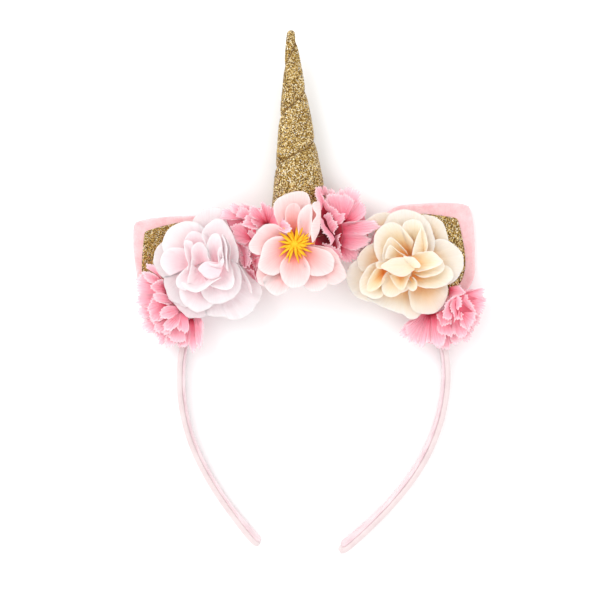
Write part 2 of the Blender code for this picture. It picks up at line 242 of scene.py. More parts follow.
def glitter(name):
    made, tree, bsdf = shader(name, 0.33, metallic=0.85)
    place = mapped(tree)
    cells = put(tree, "ShaderNodeTexVoronoi", feature="F1")
    cells.inputs["Scale"].default_value = 2700.0
    cells.inputs["Randomness"].default_value = 1.0
    feed(tree, place, cells.inputs["Vector"])
    parts = put(tree, "ShaderNodeSeparateColor")
    feed(tree, cells.outputs["Color"], parts.inputs[0])
    # Each grain's tone runs from near black to near white: partly the gold's own tone, partly painted glints
    # and painted shade on single grains, beside the tilted normals below
    grain = ramp_of(tree, parts.outputs[0], (
        (0.0, (0.07, 0.03, 0.006)), (0.3, (0.21, 0.11, 0.02)), (0.52, (0.42, 0.26, 0.06)),
        (0.72, (0.70, 0.49, 0.17)), (0.87, (1.0, 0.84, 0.50)), (1.0, (1.0, 0.98, 0.88)),
    ))
    patch = noise_at(tree, place, 140.0, 2.0)
    worn = ranged(tree, patch, 0.35, 0.7, 0.0, 0.22)
    feed(tree, blend(tree, worn, grain, (0.42, 0.27, 0.08), "MULTIPLY"), bsdf.inputs["Base Color"])
    feed(tree, ranged(tree, parts.outputs[1], 0.0, 1.0, 0.18, 0.55), bsdf.inputs["Roughness"])
    facing = put(tree, "ShaderNodeNewGeometry")
    off = put(tree, "ShaderNodeVectorMath", operation="MULTIPLY_ADD")
    feed(tree, cells.outputs["Color"], off.inputs[0])
    off.inputs[1].default_value = (1.3, 1.3, 1.3)
    off.inputs[2].default_value = (-0.65, -0.65, -0.65)
    total = put(tree, "ShaderNodeVectorMath", operation="ADD")
    feed(tree, facing.outputs["Normal"], total.inputs[0])
    feed(tree, off.outputs[0], total.inputs[1])
    unit = put(tree, "ShaderNodeVectorMath", operation="NORMALIZE")
    feed(tree, total.outputs[0], unit.inputs[0])
    feed(tree, unit.outputs[0], bsdf.inputs["Normal"])
    return made


def felt(name):
    made, tree, bsdf = shader(name, 0.95, sheen=0.7, soft=0.15, level=0.1)
    bsdf.inputs["Sheen Tint"].default_value = (1.0, 0.9, 0.92, 1.0)
    place = mapped(tree)
    cloud = noise_at(tree, place, 220.0, 4.0, 0.6)
    fibre = noise_at(tree, place, 1500.0, 4.0, 0.7)
    tone = ramp_of(tree, cloud, (
        (0.25, (0.84, 0.43, 0.46)), (0.5, (0.90, 0.55, 0.57)), (0.75, (0.94, 0.64, 0.66)),
    ))
    flecks = ranged(tree, fibre, 0.5, 0.75, 0.0, 0.4)
    feed(tree, blend(tree, flecks, tone, (1.0, 0.84, 0.86)), bsdf.inputs["Base Color"])
    raised(tree, bsdf, ((fibre, 0.55), (cloud, 0.3)), 0.0006)
    return made


def plain_cloth(name, colour, dark, scale):
    made, tree, bsdf = shader(name, 0.7, level=0.3)
    grain = noise_at(tree, mapped(tree), scale, 3.0)
    feed(tree, ramp_of(tree, grain, ((0.3, dark), (0.7, colour))), bsdf.inputs["Base Color"])
    raised(tree, bsdf, ((grain, 0.3),), 0.0003)
    return made


SATIN = satin("satin_pink", (0.73, 0.61, 0.61), (0.67, 0.54, 0.545), (0.77, 0.66, 0.66), 900)
LINING = satin("lining_pink", (0.76, 0.58, 0.61), (0.66, 0.46, 0.50), (0.84, 0.69, 0.71), 700)
GLITTER = glitter("gold_grains")
FELT = felt("felt_pink")
# Dark brown thread: partly the thread's own colour, partly painted shade of the horn's groove it lies in
THREAD = plain_cloth("thread_brown_groove_shade", (0.30, 0.17, 0.05), (0.14, 0.07, 0.02), 3000.0)
# Petal tones from root (0) to rim (1): the deeper tones near the root are partly the cloth's own colour,
# partly painted shade deep in each flower; the carnation's near-black root tones are painted shade
WHITE = petal_cloth("petal_white", (
    (0.0, (1.03, 0.56, 0.61)), (0.35, (1.01, 0.68, 0.73)), (0.62, (0.99, 0.79, 0.82)),
    (0.84, (0.95, 0.83, 0.85)), (1.0, (0.92, 0.86, 0.87)),
), (0.97, 0.84, 0.87))
WHITE_OUT = petal_cloth("petal_white_outer", (
    (0.0, (0.97, 0.66, 0.70)), (0.5, (0.95, 0.79, 0.82)), (0.8, (0.88, 0.77, 0.79)),
    (1.0, (0.86, 0.80, 0.81)),
), (0.90, 0.80, 0.82))
CREAM = petal_cloth("petal_cream", (
    (0.0, (1.0, 0.30, 0.07)), (0.25, (1.0, 0.50, 0.20)), (0.5, (0.98, 0.72, 0.45)),
    (0.75, (0.95, 0.80, 0.61)), (1.0, (0.93, 0.85, 0.74)),
), (0.97, 0.85, 0.66), soft_radius=(1.0, 0.9, 0.7))
CREAM_OUT = petal_cloth("petal_cream_outer", (
    (0.0, (0.85, 0.36, 0.13)), (0.35, (0.90, 0.58, 0.36)), (0.65, (0.89, 0.75, 0.61)),
    (1.0, (0.88, 0.83, 0.75)),
), (0.95, 0.86, 0.74), soft_radius=(1.0, 0.9, 0.7))
BLOSSOM_CLOTH = petal_cloth("petal_blossom", (
    (0.0, (0.90, 0.16, 0.11)), (0.28, (0.94, 0.30, 0.26)), (0.46, (0.97, 0.46, 0.44)),
    (0.68, (0.98, 0.60, 0.59)), (0.88, (0.98, 0.73, 0.72)), (1.0, (0.99, 0.82, 0.81)),
), (0.95, 0.70, 0.68))
CARNATION = petal_cloth("petal_carnation", (
    (0.0, (0.14, 0.0, 0.006)), (0.12, (0.55, 0.015, 0.05)), (0.28, (1.0, 0.18, 0.27)),
    (0.5, (1.06, 0.36, 0.46)), (0.78, (1.07, 0.49, 0.58)), (0.92, (1.08, 0.58, 0.66)),
    (1.0, (1.08, 0.73, 0.79)),
), (0.95, 0.64, 0.70), soft=0.35)
STAMEN = plain_cloth("stamen_yellow", (0.98, 0.62, 0.02), (0.86, 0.42, 0.01), 2500.0)


# Meshes

class Piece:
    """Gathers faces in millimetres, with a place on the cloth and a share along the petal."""

    def __init__(self, name, cloth, node, slot):
        self.name, self.cloth, self.node, self.slot = name, cloth, node, slot
        self.points, self.faces, self.along, self.tint, self.uv = [], [], [], [], []

    def grid(self, rows, closed=False, along=None, tint=0.0):
        """rows of (point, u, v); closed joins the last column to the first."""
        start = len(self.points)
        count = len(rows[0])
        for i, row in enumerate(rows):
            for j, (point, u, v) in enumerate(row):
                self.points.append(point)
                self.along.append(along[i][j] if along else v)
                self.tint.append(tint)
                self.uv.append((u, v))
        for i in range(len(rows) - 1):
            for j in range(count if closed else count - 1):
                a = start + i * count + j
                b = start + i * count + (j + 1) % count
                self.faces.append((a, b, b + count, a + count))
        return start

    def cap(self, start, count, point, flip=False):
        """Closes the ring of count points from start on with one point."""
        self.points.append(point)
        self.along.append(self.along[start])
        self.tint.append(self.tint[start])
        self.uv.append(self.uv[start])
        tip = len(self.points) - 1
        for j in range(count):
            pair = (start + j, start + (j + 1) % count)
            self.faces.append((tip, *pair) if flip else (tip, *pair[::-1]))

    def solid(self, rows, low, high, along=None):
        """Rows joined all round, closed by a point at each end."""
        count = len(rows[0])
        first = self.grid(rows, closed=True, along=along)
        self.cap(first, count, low)
        self.cap(first + (len(rows) - 1) * count, count, high, flip=True)

    def make(self, thick=0.0, levels=0):
        """The object in metres; thick gives sheets a wall, without it closed forms are turned outward."""
        mesh = bpy.data.meshes.new(self.name)
        mesh.from_pydata([tuple(c * MM for c in p) for p in self.points], [], self.faces)
        for key, values in (("along", self.along), ("tint", self.tint)):
            mesh.attributes.new(key, "FLOAT", "POINT").data.foreach_set("value", values)
        layer = mesh.uv_layers.new(name="cloth")
        for loop in mesh.loops:
            layer.data[loop.index].uv = self.uv[loop.vertex_index]
        mesh.polygons.foreach_set("use_smooth", [True] * len(mesh.polygons))
        mesh.materials.append(self.cloth)
        thing = bpy.data.objects.new(self.name, mesh)
        bpy.context.collection.objects.link(thing)
        if thick:
            skin = thing.modifiers.new("skin", "SOLIDIFY")
            skin.thickness, skin.offset, skin.use_even_offset = thick * MM, 0.0, False
        if levels:
            fine = thing.modifiers.new("fine", "SUBSURF")
            fine.levels = fine.render_levels = levels
        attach(thing, "root")
        if self.node:
            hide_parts(self.node)
        if not thick:
            outward(mesh)
        return thing


def outward(mesh):
    """Turns the faces of a closed mesh outward."""
    work = bmesh.new()
    work.from_mesh(mesh)
    bmesh.ops.recalc_face_normals(work, faces=work.faces)
    work.to_mesh(mesh)
    work.free()


# Hoop

def leg(distance):
    """x and y at this distance along the right leg, and the way outward there."""
    x, y, heading = 0.0, 0.0, 0.0
    for share, turn in LEG_BENDS:
        radius = share * HOOP_RADIUS
        bend = min(math.radians(turn), distance / radius)
        x += radius * (math.sin(heading + bend) - math.sin(heading))
        y += radius * (math.cos(heading + bend) - math.cos(heading))
        heading += bend
        distance -= bend * radius
        if distance <= 1e-9:
            break
    return x, y, math.sin(heading), math.cos(heading)


LEG_LONG = sum(share * HOOP_RADIUS * math.radians(turn) for share, turn in LEG_BENDS)


def rounded(wide, tall, corner, steps=4):
    """Points round a rectangle with rounded corners, (across, up)."""
    points = []
    for cx, cy, start in ((1, 1, 0), (-1, 1, 90), (-1, -1, 180), (1, -1, 270)):
        for k in range(steps + 1):
            a = math.radians(start + 90 * k / steps)
            points.append((cx * (wide / 2 - corner) + corner * math.cos(a),
                           cy * (tall / 2 - corner) + corner * math.sin(a)))
    return points


HOOP_STEPS = 420
# Degrees that the left and right leg lean: more at the end, all along
HOOP_TWIST = ((9.0, 2.0), (10.0, 5.0))
LEAN_FROM, LEAN_RUN = 70.0, 50.0  # along the leg from the top, and how long it takes to lean
END_RUN = 26.0  # the stretch at the end that leans more
RIB_PITCH = 0.9  # of the ribs across the ribbon


def hoop_piece(name, node, cloth, slot, offset, thick, wide, corner, short=(0.0, 0.0), rib=0.0, taper=6.0,
               lump=0.0):
    """A strip along the whole hoop; short is how far each end stops before the end of its leg."""
    piece = Piece(name, cloth, node, slot)
    section = rounded(thick, wide, corner)
    count = len(section)
    rows = []
    total = 2 * LEG_LONG - short[0] - short[1]
    for i in range(HOOP_STEPS + 1):
        s = -LEG_LONG + short[0] + total * i / HOOP_STEPS
        side = -1 if s < 0 else 1
        x, y, nx, ny = leg(abs(s))
        left = (LEG_LONG - short[0] + s) if side < 0 else (LEG_LONG - short[1] - s)
        low = 1.0 if left >= taper else math.sqrt(max(0.0, 1 - 0.75 * (1 - left / taper) ** 2))
        near = left / (taper * 0.5)
        thin = 1.0 if near >= 1 else 0.55 + 0.45 * math.sqrt(max(0.0, 1 - (1 - near) ** 2))
        at_end, along_leg = HOOP_TWIST[0] if side < 0 else HOOP_TWIST[1]
        lean = along_leg * smooth((abs(s) - LEAN_FROM) / LEAN_RUN) + at_end * smooth(1 - left / END_RUN)
        lean = math.radians(lean)
        row = []
        for j, (out, up) in enumerate(section):
            swell = 1 + rib * math.sin(2 * math.pi * s / RIB_PITCH) + lump * wave(s * 0.11, j * 0.35, 3.0)
            o, z = out * thin * swell, up * low
            o, z = o * math.cos(lean) + z * math.sin(lean), -o * math.sin(lean) + z * math.cos(lean)
            reach = offset + o
            point = (side * (x + nx * reach), y + ny * reach, STRIP_WIDE / 2 + z)
            row.append((point, j / count, s / 100.0))
        rows.append(row)
    ends = [tuple(sum(point[k] for point, _, _ in row) / count for k in range(3))
            for row in (rows[0], rows[-1])]
    piece.solid(rows, *ends)
    piece.make()


hoop_piece("hoop_satin", "band", SATIN, "satin", 0.0, STRIP_THICK, STRIP_WIDE, 1.15, lump=0.05)
hoop_piece("hoop_lining", "band_lining", LINING, "lining", -(STRIP_THICK + LINING_THICK) / 2 + 0.08,
           LINING_THICK * 0.9, LINING_WIDE + 0.6, 0.4, (0.8, 2.4), rib=0.06, taper=2.0)


# Horn

HORN_SIDES, HORN_ROWS = 132, 210
HORN_FOOT = polar(HORN_AT, OUTER + GAP + 0.15)
HORN_WAY = (math.cos(math.radians(HORN_LEAN)), math.sin(math.radians(HORN_LEAN)))
# Half widths, in turns, of the thread's groove and of the cloth drawn in beside it
GROOVE, GATHER = 0.045, 0.15
DRAWN_IN = 0.35  # how far in that cloth is drawn
PUFF, GRAIN = 0.25, 0.11
LEAST_HALF = 2.2  # where the horn is thinner than this, all of that fades
TIP_PLAIN = 3.0
FOOT_NARROW = 0.93
THREAD_ENDS = (6.0, 4.0)  # how far its ends stay from the tip and from the foot
THREAD_RADIUS = 0.24
THREAD_PROUD = 0.15  # how far its middle stands out of the bottom of the groove


def horn_half(from_tip):
    """Half width and half depth of the horn."""
    share = from_tip / HORN_LONG
    wide = HORN_TIP + (HORN_HALF - HORN_TIP) * share
    deep = HORN_TIP + (HORN_DEEP - HORN_TIP) * share
    cut = 1.0 if from_tip > HORN_TIP else math.sqrt(max(0.0, 1 - (1 - from_tip / HORN_TIP) ** 2))
    return wide * cut, deep * cut


def thread_pull(wide):
    """How far in the thread lies."""
    return 0.55 + 0.045 * wide


def horn_at(up, out, high):
    ax, ay = HORN_WAY
    return (HORN_FOOT[0] + ax * up + ay * out, HORN_FOOT[1] + ay * up - ax * out, HORN_AXIS + high)


def thread_off(from_tip, t):
    """How far this point is from the thread, in turns."""
    turn = from_tip / THREAD_PITCH + t / (2 * math.pi) - THREAD_START
    return abs(turn - round(turn))


def horn():
    piece = Piece("horn_glitter", GLITTER, "horn", "gold_glitter")
    random.seed(11)
    rows = []
    for i in range(HORN_ROWS + 1):
        from_tip = HORN_LONG - (HORN_LONG - 0.05) * (i / HORN_ROWS) ** 0.96
        wide, deep = horn_half(from_tip)
        row = []
        for j in range(HORN_SIDES):
            t = 2 * math.pi * j / HORN_SIDES
            off = thread_off(from_tip, t)
            pull = math.exp(-(off / GROOVE) ** 2) * thread_pull(wide)
            pull += DRAWN_IN * math.exp(-(off / GATHER) ** 2)
            puff = PUFF * wave(2.2 * math.cos(t), 2.2 * math.sin(t), from_tip * 0.06)
            grain = random.uniform(-GRAIN, GRAIN)
            keep = 1 - (pull - puff - grain) / max(wide, LEAST_HALF)
            keep = 1 + (keep - 1) * smooth(from_tip / TIP_PLAIN)
            row.append((horn_at(HORN_LONG - from_tip, -wide * keep * math.cos(t), deep * keep * math.sin(t)),
                        j / HORN_SIDES, from_tip / 100.0))
        rows.append(row)
    foot = []
    wide, deep = horn_half(HORN_LONG)
    for j in range(HORN_SIDES):
        t = 2 * math.pi * j / HORN_SIDES
        up, out, high = 0.0, -wide * FOOT_NARROW * math.cos(t), deep * FOOT_NARROW * math.sin(t)
        for _ in range(6):  # down along the horn until it meets the hoop
            x, y, _ = horn_at(up, out, high)
            up += (OUTER + GAP) - math.hypot(x - CENTRE[0], y - CENTRE[1])
        foot.append((horn_at(up, out, high), j / HORN_SIDES, 1.0))
    piece.solid([foot] + rows, horn_at(0.0, 0.0, 0.0), horn_at(HORN_LONG, 0.0, 0.0))
    piece.make()


def tube(piece, points, radius, sides):
    """A closed tube along points, radius a number or a function of the share along it."""
    rows = []
    count = len(points)
    for i, p in enumerate(points):
        before, after = points[max(i - 1, 0)], points[min(i + 1, count - 1)]
        way = Vector([after[k] - before[k] for k in range(3)]).normalized()
        side = way.cross(Vector((0.0, 0.0, 1.0)))
        if side.length < 0.1:
            side = way.cross(Vector((0.0, 1.0, 0.0)))
        side.normalize()
        up = side.cross(way)
        r = radius(i / (count - 1)) if callable(radius) else radius
        row = []
        for j in range(sides):
            a = 2 * math.pi * j / sides
            q = Vector(p) + side * r * math.cos(a) + up * r * math.sin(a)
            row.append((tuple(q), j / sides, i / (count - 1)))
        rows.append(row)
    piece.solid(rows, tuple(points[0]), tuple(points[-1]))


def horn_thread():
    piece = Piece("horn_thread", THREAD, None, "gold_glitter")
    points = []
    turns = (HORN_LONG - THREAD_ENDS[1] - THREAD_ENDS[0]) / THREAD_PITCH
    steps = int(turns * 44)
    for i in range(steps + 1):
        from_tip = THREAD_ENDS[0] + turns * THREAD_PITCH * i / steps
        t = 2 * math.pi * (THREAD_START - from_tip / THREAD_PITCH + 4)
        wide, deep = horn_half(from_tip)
        keep = 1 - (thread_pull(wide) + DRAWN_IN - THREAD_PROUD) / max(wide, LEAST_HALF)
        points.append(horn_at(HORN_LONG - from_tip, -wide * keep * math.cos(t), deep * keep * math.sin(t)))
    tube(piece, points, THREAD_RADIUS, 6)
    piece.make()


horn()
horn_thread()


# Ears

def between(p0, p1, p2, p3, t):
    """The point at share t of the smooth stretch from p1 to p2."""
    return tuple(0.5 * (2 * b + (c - a) * t + (2 * a - 5 * b + 4 * c - d) * t * t
                        + (3 * b - a - 3 * c + d) * t ** 3) for a, b, c, d in zip(p0, p1, p2, p3))


def evenly(dense, steps):
    """The steps + 1 evenly spaced points of a line, by its length in the first two values."""
    lengths = [0.0]
    for a, b in zip(dense, dense[1:]):
        lengths.append(lengths[-1] + math.hypot(b[0] - a[0], b[1] - a[1]))
    result, k = [], 0
    for i in range(steps + 1):
        want = lengths[-1] * i / steps
        while k < len(lengths) - 2 and lengths[k + 1] < want:
            k += 1
        t = (want - lengths[k]) / max(lengths[k + 1] - lengths[k], 1e-9)
        result.append(tuple(a + (b - a) * t for a, b in zip(dense[k], dense[k + 1])))
    return result


def spread_outline(points, steps):
    """Evenly spaced points on a smooth closed line through points."""
    n = len(points)
    dense = [between(points[i - 1], points[i], points[(i + 1) % n], points[(i + 2) % n], k / 12)
             for i in range(n) for k in range(12)]
    return evenly(dense + dense[:1], steps)[:-1]


PLATE_POINTS, EDGE_STEPS = 220, 6
PLATE_SHARES = (0.12, 0.25, 0.38, 0.5, 0.62, 0.74, 0.85, 0.93)


def ear(side, degrees, tall, panel_tip):
    a = math.radians(degrees)
    out, across = (math.cos(a), math.sin(a)), (math.sin(a), -math.cos(a))

    def plan(u, v):
        reach = OUTER + v
        return (CENTRE[0] + out[0] * reach + across[0] * u, CENTRE[1] + out[1] * reach + across[1] * u)

    def plate(name, node, cloth, slot, outline, rear, thick, edge, rough, seed, bow):
        """A plate with a round edge, an uneven outline and a slightly bowed front."""
        piece = Piece(name, cloth, node, slot)
        line = spread_outline(outline, PLATE_POINTS)
        mid = (sum(u for u, _ in line) / len(line), sum(v for _, v in line) / len(line))
        rows = []

        def ring(inset, high, share=None):
            row = []
            for k, (u, v) in enumerate(line):
                long = math.hypot(u - mid[0], v - mid[1])
                keep = (1 - inset / long) if share is None else share * (1 - edge / long)
                x, y = plan(mid[0] + (u - mid[0]) * keep, mid[1] + (v - mid[1]) * keep)
                jag = rough * wave(x * 1.9, y * 1.9, high * 2 + seed)
                swell = bow * (1 - (keep if share is None else share) ** 2)
                row.append(((x + jag * out[0], y + jag * out[1],
                             rear + high + (swell if high > thick / 2 else 0.0) + 0.6 * jag), x / 60, y / 60))
            rows.append(row)

        for share in PLATE_SHARES:
            ring(0, 0.0, share)
        for k in range(EDGE_STEPS + 1):
            t = math.pi * k / EDGE_STEPS
            ring(edge * (1 - math.sin(t)), thick / 2 - thick / 2 * math.cos(t))
        for share in PLATE_SHARES[::-1]:
            ring(0, thick, share)
        centre = plan(*mid)
        piece.solid(rows, (*centre, rear), (*centre, rear + thick + bow), [[0.5] * len(line)] * len(rows))
        piece.make()

    seat = OUTER + GAP

    def foot_line(half, steps):
        row = [half - 2 * half * k / steps for k in range(steps + 1)]
        return [(u, math.sqrt(seat * seat - u * u) - OUTER) for u in row]

    half_side = [(EAR_WIDE * w, tall * h) for w, h in EAR_OUTLINE]
    outline = foot_line(EAR_WIDE * EAR_FOOT, 8) + [(-u, v) for u, v in half_side]
    outline += [(0.0, tall)] + half_side[::-1]
    plate("ear_%s_plate" % side, "ear_%s_felt" % side, FELT, "felt", outline, EAR_REAR, EAR_THICK,
          edge=1.3, rough=0.16, seed=3.0 if side == "left" else 9.0, bow=0.25)
    panel = [(u, panel_tip - drop) for u, drop in PANEL_OUTLINE]
    panel_line = [(-u, v) for u, v in panel] + [(0.0, panel_tip)] + panel[::-1]
    plate("ear_%s_panel" % side, "ear_%s_glitter" % side, GLITTER, "gold_glitter", panel_line,
          EAR_REAR + EAR_THICK + 0.12, PANEL_THICK, edge=0.3, rough=0.12, seed=5.0, bow=0.15)


for ear_row in EARS:
    ear(*ear_row)


# Petals

PIXEL = 0.46  # mm to a pixel of the photograph, in the plane FOCUS mm above the floor
FOCUS = 8.0
PHOTO_WIDE = 608  # pixels
CAMERA = (-7.16, -29.85, 700.0)
TURN = (math.cos(math.radians(PHOTO_TURN)), math.sin(math.radians(PHOTO_TURN)))


def seen(px, py, z):
    """The point z mm up that the photograph shows at this pixel."""
    scale = PIXEL * (CAMERA[2] - z) / (CAMERA[2] - FOCUS)
    right, up = (px - PHOTO_WIDE / 2) * scale, (PHOTO_WIDE / 2 - py) * scale
    return Vector((CAMERA[0] + right * TURN[0] - up * TURN[1], CAMERA[1] + right * TURN[1] + up * TURN[0], z))


def along_line(points, steps, default):
    """Evenly spaced points (px, py, z) on a smooth open line."""
    points = [tuple(p) + (default,) * (3 - len(p)) for p in points]
    if len(points) == 1:
        return points * (steps + 1)
    last = len(points) - 1
    dense = [between(points[max(i - 1, 0)], points[i], points[i + 1], points[min(i + 2, last)], k / 10)
             for i in range(last) for k in range(10)]
    return evenly(dense + points[-1:], steps)


PETAL_THICK = 0.24
RIM_FROM = 0.72  # share of a petal's length from which its rim is rolled and cut
RIM_WAVES = ((2.4, 0.13, 1.7), (1.5, 0.42, 0.7), (1.2, 0.95, 1.1))  # depth, pitch, how far the seed shifts it


def leaf(piece, root, rim, low, high, belly=0.0, power=1.0, lip=0.0, ruffle=0.3, crease=0.12, jag=0.0,
         teeth=0.0, span=(0.0, 1.0), tint=0.0, seed=0.0, up=10):
    """A petal stretched from its root line to its rim line, both given in pixels of the photograph.

    low and high are the heights of root and rim where a point has none of its own. power above 1 hollows
    the petal and below 1 rounds it, belly arches it, lip rolls the rim down, ruffle and crease make it
    uneven, all in millimetres. jag and teeth cut the rim: depth in pixels, number of teeth. span is the part
    of the cloth's tones that it shows.
    """
    around = max(14, int(len(rim) * 3.2), int(teeth * 5) if jag else 0)
    roots, rims = along_line(root, around, low), along_line(rim, around, high)
    rows, shares = [], []
    for i in range(up + 1):
        v = i / up
        edge = smooth((v - RIM_FROM) / (1 - RIM_FROM))
        row = []
        for j in range(around + 1):
            u = j / around
            a, b = roots[j], rims[j]
            long = math.hypot(b[0] - a[0], b[1] - a[1])
            way = ((b[0] - a[0]) / max(long, 1e-6), (b[1] - a[1]) / max(long, 1e-6))
            off = ruffle * sum(depth * wave(b[0] * pitch + seed, b[1] * pitch, seed * step)
                               for depth, pitch, step in RIM_WAVES)
            reach = v + off / max(long, 3.0) * smooth((v - 0.5) / 0.5)
            if jag:
                cut = abs((u * teeth + seed) % 1.0 * 2 - 1) - 0.55
                cut += 1.1 * wave(u * teeth * 0.8, seed * 3.3, 1.0)
                reach += jag * cut / max(long, 3.0) * edge
            z = a[2] + (b[2] - a[2]) * v ** power + belly * 4 * v * (1 - v) - lip * edge * edge
            z += crease * 2.2 * wave(u * around * 0.33 + seed * 2.1, v * 0.8, seed) * smooth(v / 0.5)
            z += (ruffle * 1.6 * wave(b[0] * 0.11 + seed * 1.3, b[1] * 0.11, v * 1.5 + seed)
                  * smooth((v - 0.2) / 0.8))
            row.append((tuple(seen(a[0] + way[0] * long * reach, a[1] + way[1] * long * reach, z)),
                        u * around * 0.05 + seed, v))
        rows.append(row)
        shares.append([span[0] + (span[1] - span[0]) * v] * (around + 1))
    piece.grid(rows, along=shares, tint=tint)


